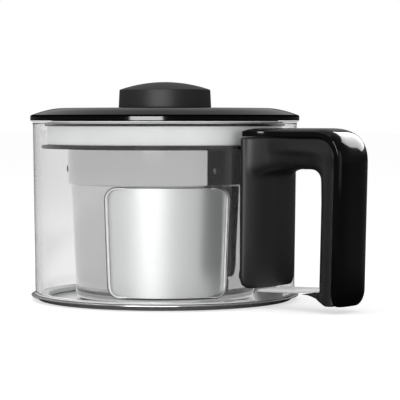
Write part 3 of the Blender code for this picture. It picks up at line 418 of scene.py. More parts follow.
@dataclass(frozen=True)
class CastSilicone:
    """Moulded silicone rubber, matt and slightly uneven.

    The surface drinks the light, so it shows broad soft tones and no sharp glint. A
    milky one lets some light glow through.
    """

    name: str
    colour: str
    roughness: float
    glow: float = 0.0

    def material(self) -> bpy.types.Material:
        """Build the rubber's material.

        Returns:
            The material, matt and slightly uneven.
        """
        material, tree, shader = open_material(self.name)
        base = srgb(self.colour)
        shader.inputs["IOR"].default_value = 1.41
        if self.glow > 0.0:
            shader.inputs["Subsurface Weight"].default_value = self.glow
            shader.inputs["Subsurface Radius"].default_value = (0.004, 0.004, 0.004)
            shader.inputs["Subsurface Scale"].default_value = 1.0
        place = add_node(tree, "ShaderNodeTexCoord")
        dust = add_node(
            tree, "ShaderNodeTexNoise", {"Scale": 900.0, "Detail": 4.0},
            {"Vector": place.outputs["Object"]},
        )
        darker = tuple(channel * 0.86 for channel in base[:3]) + (1.0,)
        tone = add_node(
            tree, "ShaderNodeMix", {6: darker, 7: base}, {0: dust.outputs[0]}, data_type="RGBA"
        )
        tree.links.new(tone.outputs[2], shader.inputs["Base Color"])
        rough = add_node(
            tree, "ShaderNodeMapRange", {3: self.roughness - 0.05, 4: self.roughness + 0.05},
            {0: dust.outputs[0]},
        )
        tree.links.new(rough.outputs[0], shader.inputs["Roughness"])
        bump = add_node(
            tree, "ShaderNodeBump", {"Strength": 0.3, "Distance": 0.00003},
            {"Height": dust.outputs[0]},
        )
        tree.links.new(bump.outputs[0], shader.inputs["Normal"])
        return material


@dataclass
class Finishes:
    """The materials of the whole jug, each made once."""

    # Borosilicate glass, drawn: clear, with grey gathered at its edges.
    glass: DrawnGlass = DrawnGlass("borosilicate_glass_drawn", "#fafafa", 1.47, 0.030, 0.000014)
    # Stainless steel, buffed: mirrors the dish's surroundings in broken streaks.
    buffed: FinishedSteel = FinishedSteel(
        "stainless_steel_buffed", "#cfcfcf", 0.18, Lay.RINGS_OUT, 0.0009, 0.00003, 0.10, 0.85
    )
    # Stainless steel, bright drawn wire: a thin pale line round each window.
    bright: FinishedSteel = FinishedSteel(
        "stainless_steel_bright_drawn", "#f2f2f2", 0.26, Lay.RINGS_UP, 0.0020, 0.00001
    )
    # Stainless steel, deep drawn: an even pale grey with clear reflections.
    drawn: FinishedSteel = FinishedSteel(
        "stainless_steel_deep_drawn", "#cfcfcf", 0.07, Lay.RINGS_UP, 0.0016, 0.00001, 0.02
    )
    # Stainless steel, satin spun: a broad pale sheen round the collar.
    satin: FinishedSteel = FinishedSteel(
        "stainless_steel_satin_spun", "#f6f6f6", 0.45, Lay.RINGS_UP, 0.0012, 0.00001, 0.03, 0.12
    )
    # Stainless steel strap, brushed lengthwise: grey with fine straight lines.
    strap: FinishedSteel = FinishedSteel(
        "stainless_steel_strap_brushed", "#e8e8e8", 0.34, Lay.ALONG_X, 0.0008, 0.00002, 0.08, 0.2
    )
    # Stainless steel rivet: a small grey dome, its steel darkened as a painted dark reflection.
    rivet_painted_dark: FinishedSteel = FinishedSteel(
        "stainless_steel_rivet_tumbled", "#6c6c6c", 0.24, Lay.RINGS_UP, 0.0006, 0.00001
    )
    # Zinc plated screw steel: dull grey metal inside the foot and the lid.
    zinc: FinishedSteel = FinishedSteel(
        "screw_steel_zinc_plated", "#a9abad", 0.35, Lay.RINGS_OUT, 0.0005, 0.00002
    )
    # Brass, turned: yellow metal of the threaded inserts.
    brass: FinishedSteel = FinishedSteel(
        "insert_brass_turned", "#c9a45c", 0.30, Lay.RINGS_UP, 0.0005, 0.00002
    )
    # Woven steel cloth, calendered: satin metal with a wide soft highlight.
    # Its threads are drawn 0.8 mm apart, coarser than the photo's, so that they show.
    woven: WovenSteel = WovenSteel("steel_cloth_woven_calendered", "#e0e0e0", 0.37, 0.0008, 0.00003, 0.72)
    # ABS, gloss moulded: near black with sharp reflections of the lamps.
    gloss: MouldedPlastic = MouldedPlastic(
        "abs_black_gloss_moulded", "#030303", 0.09, 0.12, 0.0040, 0.00001, 0.02
    )
    # ABS, gloss moulded lid: the same black, with a dull line along its top edge.
    lid_gloss: LidPlastic = LidPlastic(
        "abs_black_gloss_lid_moulded", "#030303", 0.09, 0.12, 0.0040, 0.00001, 0.02
    )
    # Polypropylene, spark-textured mould: dark grey with a soft wide sheen.
    matt: MouldedPlastic = MouldedPlastic(
        "polypropylene_black_textured", "#0f0f0f", 0.46, 0.33, 0.0005, 0.00004
    )
    # Polypropylene, fine-textured mould: the slightly lighter knob.
    knob: MouldedPlastic = MouldedPlastic(
        "polypropylene_knob_textured", "#1e1e1e", 0.46, 0.35, 0.0005, 0.00003
    )
    # Nylon, plain moulded: the unseen liner of the lid.
    liner: MouldedPlastic = MouldedPlastic(
        "nylon_liner_moulded", "#161616", 0.45, 0.4, 0.0010, 0.00003
    )
    # Silicone, moulded dark grey: the infuser's bumper ring.
    rubber: CastSilicone = CastSilicone("silicone_dark_moulded", "#363636", 0.55)
    # Silicone, moulded black: the collar's seal and the lid's gasket.
    black_rubber: CastSilicone = CastSilicone("silicone_black_moulded", "#1c1c1c", 0.60)
    # Silicone, moulded milky: the pale seal under the glass.
    milky: CastSilicone = CastSilicone("silicone_milky_moulded", "#dedede", 0.45, 0.3)
    # Two-part bond, cured: black under the pad.
    cured: CastSilicone = CastSilicone("bond_black_cured", "#151515", 0.50)
    made: dict[str, bpy.types.Material] = field(default_factory=dict)

    def get(self, name: str) -> bpy.types.Material:
        """Return the material of a finish, made the first time.

        Args:
            name: Field name of the finish.

        Returns:
            The finish's material.
        """
        if name not in self.made:
            self.made[name] = getattr(self, name).material()
        return self.made[name]


def clamped(value: float) -> float:
    """Return a value held between zero and one."""
    return min(max(value, 0.0), 1.0)


def rounded(corners: Sequence[Corner], closed: bool = True, segments: int = 5) -> list[Point]:
    """Replace an outline's corners (x, y, radius) by arcs.

    Args:
        corners: Corner points with the radius of each fillet.
        closed: Whether the outline runs back to its first corner.
        segments: Straight steps in each fillet.

    Returns:
        The outline's points.
    """
    count = len(corners)
    outline: list[Point] = []
    for index, (x, y, radius) in enumerate(corners):
        corner = Vector((x, y))
        if radius == 0 or (not closed and index in (0, count - 1)):
            outline.append((x, y))
            continue
        back = Vector(corners[index - 1][:2]) - corner
        ahead = Vector(corners[(index + 1) % count][:2]) - corner
        half = back.angle(ahead) / 2
        reach = min(radius / tan(half), back.length * 0.49, ahead.length * 0.49)
        fitted = reach * tan(half)
        centre = corner + (back.normalized() + ahead.normalized()).normalized() * (fitted / sin(half))
        start = corner + back.normalized() * reach - centre
        turn = start.angle_signed(corner + ahead.normalized() * reach - centre)
        for step in range(segments + 1):
            place = centre + Matrix.Rotation(-turn * step / segments, 2) @ start
            outline.append((place.x, place.y))
    return outline


def link(name: str, mesh: bpy.types.Mesh) -> bpy.types.Object:
    """Put a mesh in the scene as an object at the origin.

    Args:
        name: Name of the object.
        mesh: Its mesh.

    Returns:
        The new object.
    """
    item = bpy.data.objects.new(name, mesh)
    bpy.context.scene.collection.objects.link(item)
    return item


def true_normals(mesh: bpy.types.Mesh) -> None:
    """Give turned walls the normals of a true round about Z.

    Args:
        mesh: Closed mesh whose walls are facets of surfaces turned about Z.
    """
    mesh.shade_smooth()
    normals: list[Vector] = [Vector((0.0, 0.0, 1.0))] * len(mesh.loops)
    for face in mesh.polygons:
        out = Vector((face.center.x, face.center.y, 0.0))
        flat = Vector((face.normal.x, face.normal.y, 0.0))
        level = flat.length
        turned = level > 0.02 and out.length > 1e-6 and abs(flat.dot(out)) / (level * out.length) > 0.99
        sign = 1.0 if flat.dot(out) > 0 else -1.0
        for loop in face.loop_indices:
            place = mesh.vertices[mesh.loops[loop].vertex_index].co
            ray = Vector((place.x, place.y, 0.0))
            if turned and ray.length > 1e-6:
                normal = ray.normalized() * (level * sign)
                normal.z = face.normal.z
                normals[loop] = normal.normalized()
            else:
                normals[loop] = face.normal.copy()
    mesh.normals_split_custom_set(normals)


def turned(
    name: str,
    profile: Sequence[Point],
    closed: bool = True,
    steps: int = ROUND_STEPS,
    shift: Callable[[Vector], Vector] | None = None,
) -> bpy.types.Object:
    """Make a round piece by turning a profile about Z.

    Args:
        name: Name of the piece.
        profile: Points (radius, height). A point on the axis makes a pole.
        closed: Whether the profile runs back to its first point.
        steps: Facets round the piece.
        shift: Optional move of each finished point.

    Returns:
        The closed piece.
    """
    work = bmesh.new()
    rings: list[list[bmesh.types.BMVert]] = []
    for radius, height in profile:
        count = 1 if radius == 0.0 else steps
        ring = []
        for step in range(count):
            angle = 2 * pi * step / steps
            place = Vector((radius * cos(angle), radius * sin(angle), height))
            ring.append(work.verts.new(shift(place) if shift else place))
        rings.append(ring)
    pairs = list(zip(rings, rings[1:]))
    if closed:
        pairs.append((rings[-1], rings[0]))
    for first, second in pairs:
        for step in range(steps):
            after = (step + 1) % steps
            corners = [first[step % len(first)], first[after % len(first)]]
            corners += [second[after % len(second)], second[step % len(second)]]
            unique = list(dict.fromkeys(corners))
            if len(unique) > 2:
                work.faces.new(unique)
    bmesh.ops.recalc_face_normals(work, faces=work.faces)
    mesh = bpy.data.meshes.new(name)
    work.to_mesh(mesh)
    work.free()
    true_normals(mesh)
    return link(name, mesh)


def skinned(
    name: str, rows: Sequence[Sequence[Vector]], loop_rows: bool, loop_points: bool
) -> bpy.types.Object:
    """Make a piece by skinning rows of matching points.

    Args:
        name: Name of the piece.
        rows: Rows with the same number of points each.
        loop_rows: Whether the last row joins the first.
        loop_points: Whether each row is a closed loop.

    Returns:
        The piece, with its open ends filled when the rows are closed loops.
    """
    work = bmesh.new()
    verts = [[work.verts.new(point) for point in row] for row in rows]
    last = len(verts) if loop_rows else len(verts) - 1
    wide = len(verts[0]) if loop_points else len(verts[0]) - 1
    for index in range(last):
        row, following = verts[index], verts[(index + 1) % len(verts)]
        for place in range(wide):
            after = (place + 1) % len(row)
            work.faces.new((row[place], row[after], following[after], following[place]))
    if loop_points and not loop_rows:
        work.faces.new(verts[0][::-1])
        work.faces.new(verts[-1])
    bmesh.ops.recalc_face_normals(work, faces=work.faces)
    mesh = bpy.data.meshes.new(name)
    work.to_mesh(mesh)
    work.free()
    return link(name, mesh)


def settle(item: bpy.types.Object) -> bpy.types.Object:
    """Turn an object's modifiers into a plain mesh.

    Args:
        item: Object with live modifiers.

    Returns:
        The same object with its finished mesh and no modifiers.
    """
    graph = bpy.context.evaluated_depsgraph_get()
    mesh = bpy.data.meshes.new_from_object(item.evaluated_get(graph))
    item.modifiers.clear()
    item.data = mesh
    return item


def carve(item: bpy.types.Object, tool: bpy.types.Object) -> bpy.types.Object:
    """Cut a tool's shape out of an object.

    Args:
        item: Object that is cut.
        tool: Shape that is cut out of it and then removed.

    Returns:
        The cut object with a plain mesh.
    """
    boolean = item.modifiers.new("Carve", "BOOLEAN")
    boolean.operation = "DIFFERENCE"
    boolean.solver = "EXACT"
    boolean.object = tool
    settle(item)
    bpy.data.objects.remove(tool, do_unlink=True)
    return item


def merged_copy(node: bpy.types.Object, name: str) -> bpy.types.Object:
    """Copy a CAD node's loose triangles into one welded mesh.

    Args:
        node: CAD node's object, which is left as it is.
        name: Name of the new piece.

    Returns:
        A new piece of the same shape.
    """
    work = bmesh.new()
    work.from_mesh(node.data)
    bmesh.ops.remove_doubles(work, verts=work.verts, dist=WELD)
    mesh = bpy.data.meshes.new(name)
    work.to_mesh(mesh)
    work.free()
    return link(name, mesh)


def flank_shading(item: bpy.types.Object, angle: float = 35.0) -> bpy.types.Object:
    """Shade a piece smooth and keep its corners above an angle sharp.

    Args:
        item: Piece to shade.
        angle: Smallest sharp corner in degrees.

    Returns:
        The same piece.
    """
    item.data.shade_smooth()
    item.data.set_sharp_from_angle(angle=radians(angle))
    return item


@dataclass
class Workshop:
    """Frame and finishes that every sub-assembly is built with."""

    frame: dict[str, Any]
    finishes: Finishes

    def hand_over(
        self, item: bpy.types.Object, body: Body, finish: str, slot: str, *nodes: str
    ) -> bpy.types.Object:
        """Dress a finished piece and put it on its body.

        Args:
            item: The finished piece.
            body: Body that it rides with.
            finish: Name of its finish.
            slot: Material slot of the record; not used.
            *nodes: CAD nodes that it stands for.

        Returns:
            The piece.
        """
        item.data.name = item.name
        item.data.materials.clear()
        item.data.materials.append(self.finishes.get(finish))
        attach(item, body.value)
        if nodes:
            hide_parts(*nodes)
        LOG.info("%s: %d faces, %s", item.name, len(item.data.polygons), finish)
        return item

    def keep(self, node: str, finish: str) -> None:
        """Give a CAD node that stays its finish.

        Args:
            node: Name of the CAD node.
            finish: Name of its finish.
        """
        item = self.frame["nodes"][node]
        material = self.finishes.get(finish)
        for slot in item.material_slots:
            slot.material = material
        if not item.material_slots:
            item.data.materials.append(material)
        LOG.info("%s: CAD node, %s", node, finish)

    def node(self, name: str) -> bpy.types.Object:
        """Return the object of a CAD node."""
        return self.frame["nodes"][name]


@dataclass
class Repeater:
    """Geometry Nodes tree that repeats a piece round the axis or along a line."""

    name: str

    def tree(self, ring: bool) -> bpy.types.NodeTree:
        """Build the tree.

        Args:
            ring: True for copies round Z that face out, False for a row along Y.

        Returns:
            The node tree with its named inputs.
        """
        tree = bpy.data.node_groups.new(self.name, "GeometryNodeTree")
        face = tree.interface
        face.new_socket("Piece", in_out="INPUT", socket_type="NodeSocketGeometry")
        face.new_socket("Count", in_out="INPUT", socket_type="NodeSocketInt")
        face.new_socket("Reach", in_out="INPUT", socket_type="NodeSocketFloat")
        face.new_socket("Height", in_out="INPUT", socket_type="NodeSocketFloat")
        face.new_socket("First Angle", in_out="INPUT", socket_type="NodeSocketFloat")
        face.new_socket("Spread", in_out="INPUT", socket_type="NodeSocketFloat")
        face.new_socket("Finish", in_out="INPUT", socket_type="NodeSocketMaterial")
        face.new_socket("Copies", in_out="OUTPUT", socket_type="NodeSocketGeometry")
        given = add_node(tree, "NodeGroupInput")
        index = add_node(tree, "GeometryNodeInputIndex")
        if ring:
            share = add_node(
                tree, "ShaderNodeMath", links={0: index.outputs[0], 1: given.outputs["Count"]},
                operation="DIVIDE",
            )
            angle = add_node(
                tree, "ShaderNodeMath", {1: 2 * pi},
                {0: share.outputs[0], 2: given.outputs["First Angle"]}, operation="MULTIPLY_ADD",
            )
            across = add_node(tree, "ShaderNodeMath", links={0: angle.outputs[0]}, operation="COSINE")
            aside = add_node(tree, "ShaderNodeMath", links={0: angle.outputs[0]}, operation="SINE")
            place = add_node(
                tree, "ShaderNodeCombineXYZ", links={0: across.outputs[0], 1: aside.outputs[0]}
            )
            reach = add_node(
                tree, "ShaderNodeVectorMath",
                links={0: place.outputs[0], "Scale": given.outputs["Reach"]}, operation="SCALE",
            )
            turn = add_node(tree, "ShaderNodeCombineXYZ", links={2: angle.outputs[0]})
            flat, turning = reach.outputs[0], turn.outputs[0]
        else:
            less = add_node(
                tree, "ShaderNodeMath", {1: 1.0}, {0: given.outputs["Count"]}, operation="SUBTRACT"
            )
            middle = add_node(tree, "ShaderNodeMath", {1: 0.5}, {0: less.outputs[0]}, operation="MULTIPLY")
            off = add_node(
                tree, "ShaderNodeMath", links={0: index.outputs[0], 1: middle.outputs[0]},
                operation="SUBTRACT",
            )
            aside = add_node(
                tree, "ShaderNodeMath", links={0: off.outputs[0], 1: given.outputs["Spread"]},
                operation="MULTIPLY",
            )
            place = add_node(
                tree, "ShaderNodeCombineXYZ", links={0: given.outputs["Reach"], 1: aside.outputs[0]}
            )
            turn = add_node(tree, "ShaderNodeCombineXYZ")
            flat, turning = place.outputs[0], turn.outputs[0]
        lift = add_node(tree, "ShaderNodeCombineXYZ", links={2: given.outputs["Height"]})
        spot = add_node(
            tree, "ShaderNodeVectorMath", links={0: flat, 1: lift.outputs[0]}, operation="ADD"
        )
        points = add_node(
            tree, "GeometryNodePoints",
            links={"Count": given.outputs["Count"], "Position": spot.outputs[0]},
        )
        copies = add_node(
            tree, "GeometryNodeInstanceOnPoints",
            links={
                "Points": points.outputs[0],
                "Instance": given.outputs["Piece"],
                "Rotation": turning,
            },
        )
        real = add_node(tree, "GeometryNodeRealizeInstances", links={0: copies.outputs[0]})
        dressed = add_node(
            tree, "GeometryNodeSetMaterial",
            links={"Geometry": real.outputs[0], "Material": given.outputs["Finish"]},
        )
        add_node(tree, "NodeGroupOutput", links={0: dressed.outputs[0]})
        return tree

    def repeat(self, item: bpy.types.Object, ring: bool, **sizes: Any) -> bpy.types.Object:
        """Repeat a piece and return the copies as one plain mesh.

        Args:
            item: Piece modelled at the origin, facing +X for a ring.
            ring: Whether the copies stand round the axis.
            **sizes: Values of the tree's inputs, with underscores for spaces.

        Returns:
            The object with all its copies in one mesh.
        """
        modifier = item.modifiers.new(self.name, "NODES")
        tree = self.tree(ring)
        modifier.node_group = tree
        for socket in tree.interface.items_tree:
            key = socket.name.replace(" ", "_").lower()
            if key in sizes:
                modifier[socket.identifier] = sizes[key]
        return settle(item)


@dataclass
class BaseDish:
    """The pressed steel dish and its pale seal."""

    shop: Workshop
    sheet: float = 0.0009
    floor_radius: float = 0.0706
    wall_radius: float = 0.0733
    rim_radius: float = 0.0760
    rim_height: float = 0.0032
    bend: float = 0.0009
    seal_top: float = 0.0039
    seal_radius: float = 0.0737
    seal_band: float = 0.0075
    ring_radii: tuple[float, float] = (0.030, 0.047)
    ring_half_foot: float = 0.0022
    ring_half_top: float = 0.0007
    ring_rise: float = 0.00035
    ring_bend: float = 0.0010

    def dish(self) -> bpy.types.Object:
        """Make the dish with a flat floor, two shallow stiffening rings and a thin rim.

        Returns:
            The dish.
        """
        top: list[Corner] = [(0.0, self.sheet, 0.0)]
        crest = self.sheet + self.ring_rise
        for radius in self.ring_radii:
            top += [
                (radius - self.ring_half_foot, self.sheet, self.ring_bend),
                (radius - self.ring_half_top, crest, self.ring_bend),
                (radius + self.ring_half_top, crest, self.ring_bend),
                (radius + self.ring_half_foot, self.sheet, self.ring_bend),
            ]
        drop = self.rim_height - self.sheet
        profile = rounded(top + [
            (self.floor_radius, self.sheet, self.bend),
            (self.wall_radius, self.rim_height, self.bend),
            (self.rim_radius, self.rim_height, self.sheet / 2.1),
            (self.rim_radius, drop, self.sheet / 2.1),
            (self.wall_radius + self.sheet, drop, self.bend),
            (self.floor_radius + self.sheet, 0.0, self.bend + self.sheet),
            (0.0, 0.0, 0.0),
        ], closed=False)
        return turned("base_dish", profile, closed=False)

    def seal(self) -> bpy.types.Object:
        """Make the soft ring between the dish and the glass.

        Returns:
            The seal.
        """
        foot = self.sheet + GAP
        lip = self.rim_height + GAP
        profile = rounded([
            (self.seal_radius - self.seal_band, self.seal_top, 0.0006),
            (self.seal_radius, self.seal_top, 0.0002),
            (self.seal_radius, lip, 0.0001),
            (self.wall_radius - 2 * GAP, lip, 0.0003),
            (self.floor_radius - 2 * GAP, foot, 0.0003),
            (self.seal_radius - self.seal_band, foot, 0.0003),
        ], segments=3)
        return turned("base_soft_seal", profile)

    def build(self) -> None:
        """Build, dress and hand over the dish's pieces."""
        shop = self.shop
        shop.hand_over(self.dish(), Body.JUG, "buffed", "polished_steel", "base_pan")
        shop.hand_over(self.seal(), Body.JUG, "milky", "translucent_silicone", "base_seal")


@dataclass
class GlassTube:
    """The open glass tube, flared at its rim, with a drawn pouring lip."""

    shop: Workshop
    foot: float = 0.0042
    height: float = 0.0958
    wall: float = 0.0030
    foot_radius: float = 0.07365
    draft: float = 0.0011
    flare: float = 0.00030
    flare_height: float = 0.0022
    edge: float = 0.0005
    lip_reach: float = 0.0065
    lip_drop: float = 0.0150
    lip_half_angle: float = radians(20.0)

    @property
    def top(self) -> float:
        """Height of the rim."""
        return self.foot + self.height

    def radius(self, height: float) -> float:
        """Return the outer radius below the flare at a height."""
        neck = self.top - self.flare_height
        return self.foot_radius + self.draft * (height - self.foot) / (neck - self.foot)

    def lip(self, place: Vector) -> Vector:
        """Draw a point of the rim out into the pouring lip at -X.

        Args:
            place: Point of the plain tube.

        Returns:
            The moved point.
        """
        flat = Vector((place.x, place.y, 0.0))
        off = flat.angle(Vector((-1.0, 0.0, 0.0))) / self.lip_half_angle
        depth = (self.top - place.z) / self.lip_drop
        if off >= 1 or depth >= 1:
            return place
        share = cos(off * pi / 2) ** 2 * (1 - depth) ** 2
        return place + flat.normalized() * (self.lip_reach * share)

    def build(self) -> None:
        """Build, dress and hand over the tube."""
        neck = self.top - self.flare_height
        rim = self.foot_radius + self.draft + self.flare
        outer: list[Corner] = [(rim, self.top, self.edge), (self.radius(neck), neck, 0.0030)]
        inner: list[Corner] = [(self.radius(neck) - self.wall, neck, 0.0030)]
        for step in range(1, 13):
            height = neck - (self.lip_drop - self.flare_height) * step / 12
            outer.append((self.radius(height), height, 0.0))
            inner.append((self.radius(height) - self.wall, height, 0.0))
        foot: list[Corner] = [
            (self.foot_radius, self.foot, self.edge),
            (self.foot_radius - self.wall, self.foot, self.edge),
        ]
        profile = rounded(outer + foot + inner[::-1] + [(rim - self.wall, self.top, self.edge)])
        item = turned("glass_tube", profile, shift=self.lip)
        self.shop.hand_over(item, Body.JUG, "glass", "clear_glass", "glass_jug")


@dataclass
class SideHandle:
    """The moulded grip, its glossy cover, the steel strap and what fastens them."""

    shop: Workshop
    tube: GlassTube
    top: float = 0.0926
    half_width: float = 0.0138
    pad_half_width: float = 0.0236
    pad_thickness: float = 0.0024
    pad_offset: float = 0.0014
    pad_foot: float = 0.0112
    pad_reach: float = 0.0865
    pad_blend: float = 0.004
    leg_reach: float = 0.12625
    leg_foot: float = 0.0036
    fan_length: float = 0.0200
    cover_gap: float = 0.00012
    cover_wall: float = 0.00208
    cover_edge: float = 0.0007
    cover_crown: float = 0.0024
    cover_full: float = 0.0009
    cover_corner: float = 0.0018
    cover_bend: float = 0.0140
    bend_power: float = 0.8
    end_round: float = 0.0085
    end_drop: float = 0.0004
    lean: float = 0.0019
    lean_top: float = 0.078
    lean_height: float = 0.074
    lean_start: float = 0.104
    lean_run: float = 0.008
    pillow: float = 0.0022
    pillow_depth: float = 0.0016
    pillow_skin: float = 0.0010
    pillow_reach: float = 0.095
    pillow_blend: float = 0.012
    pad_fuller: float = 0.030
    pad_lower: float = 0.0006
    pad_lower_top: float = 0.022
    pad_lower_blend: float = 0.008
    crowning: float = 0.11
    arm_half_depth: float = 0.00865
    leg_half_depth: float = 0.0054
    arm_start: float = 0.084
    arm_blend: float = 0.014
    corner_height: float = 0.084
    corner_blend: float = 0.010
    voxel: float = 0.00065
    firm_reach: float = 0.098
    firm_height: float = 0.010
    firm_blend: float = 0.008
    screw_reach: float = 0.11925
    screw_spread: float = 0.0120

    def leaned(self, place: Vector) -> Vector:
        """Lean a point of the leg in towards the jug, more so lower down.

        Args:
            place: Point of the upright leg.

        Returns:
            The leaned point.
        """
        low = clamped((self.lean_top - place.z) / self.lean_height)
        share = low * clamped((place.x - self.lean_start) / self.lean_run)
        return Vector((place.x - self.lean * share, place.y, place.z))

    def moulded(self, place: Vector) -> Vector:
        """Crown the grip's faces as the mould does.

        Args:
            place: Point of the plain grip.

        Returns:
            The point on a pad like a pillow and on an arm and leg with rounded flanks.
        """
        radius = hypot(place.x, place.y)
        skin = self.tube.radius(place.z) + self.pad_offset + self.pad_thickness
        spread = asin(min(abs(place.y) / radius, 1.0)) / asin(self.pad_half_width / skin)
        middle = 0.5 * (self.top + self.pad_foot)
        level = abs(place.z - middle) / (self.top - middle)
        dome = max(1 - spread ** 2.8, 0.0) * max(1 - level ** 3, 0.0)
        front = clamped((radius - skin + self.pillow_depth) / self.pillow_skin)
        front *= clamped((self.pillow_reach - radius) / self.pillow_blend)
        pad = clamped((self.pad_reach - radius) / self.pad_blend)
        moved = Matrix.Rotation(atan2(place.y, place.x) * self.pad_fuller * pad, 3, "Z") @ place
        low = clamped((self.pad_lower_top - place.z) / self.pad_lower_blend)
        moved.z -= self.pad_lower * pad * low
        moved.x += self.pillow * dome * front
        arm = ((place.z - self.top + self.arm_half_depth) / self.arm_half_depth) ** 2
        leg = ((place.x - self.leg_reach + self.leg_half_depth) / self.leg_half_depth) ** 2
        down = clamped((self.corner_height - place.z) / self.corner_blend)
        off = min(arm * (1 - down) + leg * down, 1.0)
        away = clamped((place.x - self.arm_start) / self.arm_blend)
        moved.y *= 1 - self.crowning * off * away
        return self.leaned(moved)

    def grip(self) -> bpy.types.Object:
        """Blend the grip's shapes into one moulded body with soft corners.

        Returns:
            The grip.
        """
        item = merged_copy(self.shop.node("handle_body"), "moulded_grip")
        remesh = item.modifiers.new("Skin", "REMESH")
        remesh.mode = "VOXEL"
        remesh.voxel_size = self.voxel
        settle(item)
        soft = item.vertex_groups.new(name="soft")
        for vertex in item.data.vertices:
            place = vertex.co
            foot = clamped((place.z - self.firm_height) / self.firm_blend)
            soft.add([vertex.index], foot if place.x > self.firm_reach else 1.0, "REPLACE")
            vertex.co = self.moulded(place)
        for iterations, group in ((4, ""), (26, "soft")):
            smooth = item.modifiers.new("Soften", "SMOOTH")
            smooth.factor = 0.5
            smooth.iterations = iterations
            smooth.vertex_group = group
        settle(item)
        item.data.shade_smooth()
        return item

    def fan_state(self, share: float) -> tuple[float, float]:
        """Work out where the arm's fan stands at a share of it.

        Args:
            share: Zero where the fan starts and one at the glass.

        Returns:
            Reach from the axis and half width.
        """
        start = self.tube.radius(self.top) + self.pad_offset + self.pad_thickness / 2
        reach = start + self.fan_length * (1 - sin(share * pi / 2))
        spread = 1 - cos(share * pi / 2)
        return reach, self.half_width + (self.pad_half_width - GAP - self.half_width) * spread

    def stations(self) -> list[tuple[Vector, Vector, float, float, float]]:
        """Work out the stations that the cover's section runs along.

        Returns:
            Stations as (point, outward way, half width, fan, end).
        """
        found: list[tuple[Vector, Vector, float, float, float]] = []
        up, out = Vector((0.0, 1.0)), Vector((1.0, 0.0))
        start = self.tube.radius(self.top) + 0.0010
        for step in range(17):
            share = 1 - step / 16
            reach, width = self.fan_state(share)
            if step == 0:
                for forward, inset in ((0.0, 1.0), (0.0006, 0.3)):
                    narrow = width - self.cover_corner * inset
                    found.append((Vector((start + forward, self.top)), up, narrow, share, 0.0))
            found.append((Vector((reach, self.top)), up, width, share, 0.0))
        centre = Vector((self.leg_reach - self.cover_bend, self.top - self.cover_bend))
        power = self.bend_power
        for step in range(57):
            angle = (1 - step / 56) * pi / 2
            across, rise = max(cos(angle), 1e-4), max(sin(angle), 1e-4)
            spot = Vector((across ** power, rise ** power)) * self.cover_bend
            way = Vector((across ** (2 - power), rise ** (2 - power))).normalized()
            found.append((centre + spot, way, self.half_width, 0.0, 0.0))
        for share in (1.0, 0.8, 0.6, 0.42, 0.27, 0.15, 0.07, 0.02, 0.0):
            height = self.leg_foot - self.end_drop + self.end_round * share
            end = 1 - sqrt(1 - (1 - share) ** 2)
            found.append((Vector((self.leg_reach, height)), out, self.half_width, 0.0, end))
        return found

    def cover(self) -> bpy.types.Object:
        """Make the crowned cover that follows the outside of the arm and the leg.

        Returns:
            The cover.
        """
        rows: list[list[Vector]] = []
        round_radius = self.tube.radius(self.top) + self.pad_offset
        for outer, way, width, fan, end in self.stations():
            narrow = width - self.end_round * end * 0.75
            side_height = (self.cover_wall + self.cover_full) * (1 - end / 2)
            crown = (self.cover_crown - self.cover_full) * (1 - end / 2)
            edge, inner = self.cover_edge, narrow - self.cover_edge
            side = [(0.0, -narrow)]
            for step in range(6):
                angle = pi / 2 * step / 5
                side.append((side_height - edge + edge * sin(angle), -inner - edge * cos(angle)))
            section = list(side)
            for step in range(1, 40):
                across = -cos(pi * step / 40)
                section.append((side_height + crown * (1 - abs(across) ** 4), inner * across))
            section += [(rise, -off) for rise, off in reversed(side)]
            row = []
            for rise, off in section:
                place = outer + way * (self.cover_gap + rise)
                drawn = fan * (round_radius - sqrt(max(round_radius ** 2 - off * off, 0.0)))
                row.append(self.leaned(Vector((place.x - drawn, off, place.y))))
            rows.append(row)
        item = skinned("gloss_cover", rows, loop_rows=False, loop_points=True)
        return flank_shading(item, 38.0)

    def strap(self) -> bpy.types.Object:
        """Bevel the strap's edges as a sheared and tumbled sheet has them.

        Returns:
            The strap.
        """
        item = merged_copy(self.shop.node("handle_bracket"), "handle_strap")
        bevel = item.modifiers.new("Edge", "BEVEL")
        bevel.width = 0.00018
        bevel.segments = 2
        bevel.limit_method = "ANGLE"
        bevel.angle_limit = radians(50.0)
        settle(item)
        return flank_shading(item)

    def screws(self) -> bpy.types.Object:
        """Make the foot's two pan head screws with crossed recesses, head down.

        Returns:
            Both screws in one mesh.
        """
        radius, shank, length = 0.0024, 0.0012, 0.0105
        low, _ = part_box("foot_screw_1")
        profile = rounded([
            (0.0, length, 0.0),
            (shank * 0.7, length, 0.0),
            (shank, length - 0.0006, 0.0),
            (shank, 0.0014, 0.0),
            (radius, 0.0014, 0.0001),
            (radius, 0.0004, 0.0004),
            (radius * 0.7, 0.0, 0.0002),
            (0.0, 0.0, 0.0),
        ], closed=False, segments=3)
        item = turned("foot_screws", profile, closed=False, steps=24)
        for turn in (0.0, pi / 2):
            slot = bpy.data.meshes.new("slot")
            work = bmesh.new()
            bmesh.ops.create_cube(work, size=1.0)
            bmesh.ops.scale(work, vec=(0.0028, 0.0005, 0.0012), verts=work.verts)
            bmesh.ops.rotate(work, matrix=Matrix.Rotation(turn, 3, "Z"), verts=work.verts)
            work.to_mesh(slot)
            work.free()
            carve(item, link("slot", slot))
        sizes = {"count": 2, "reach": self.screw_reach, "height": low.z, "spread": self.screw_spread}
        finish = self.shop.finishes.get("zinc")
        Repeater("screw_row").repeat(item, False, finish=finish, **sizes)
        return flank_shading(item)

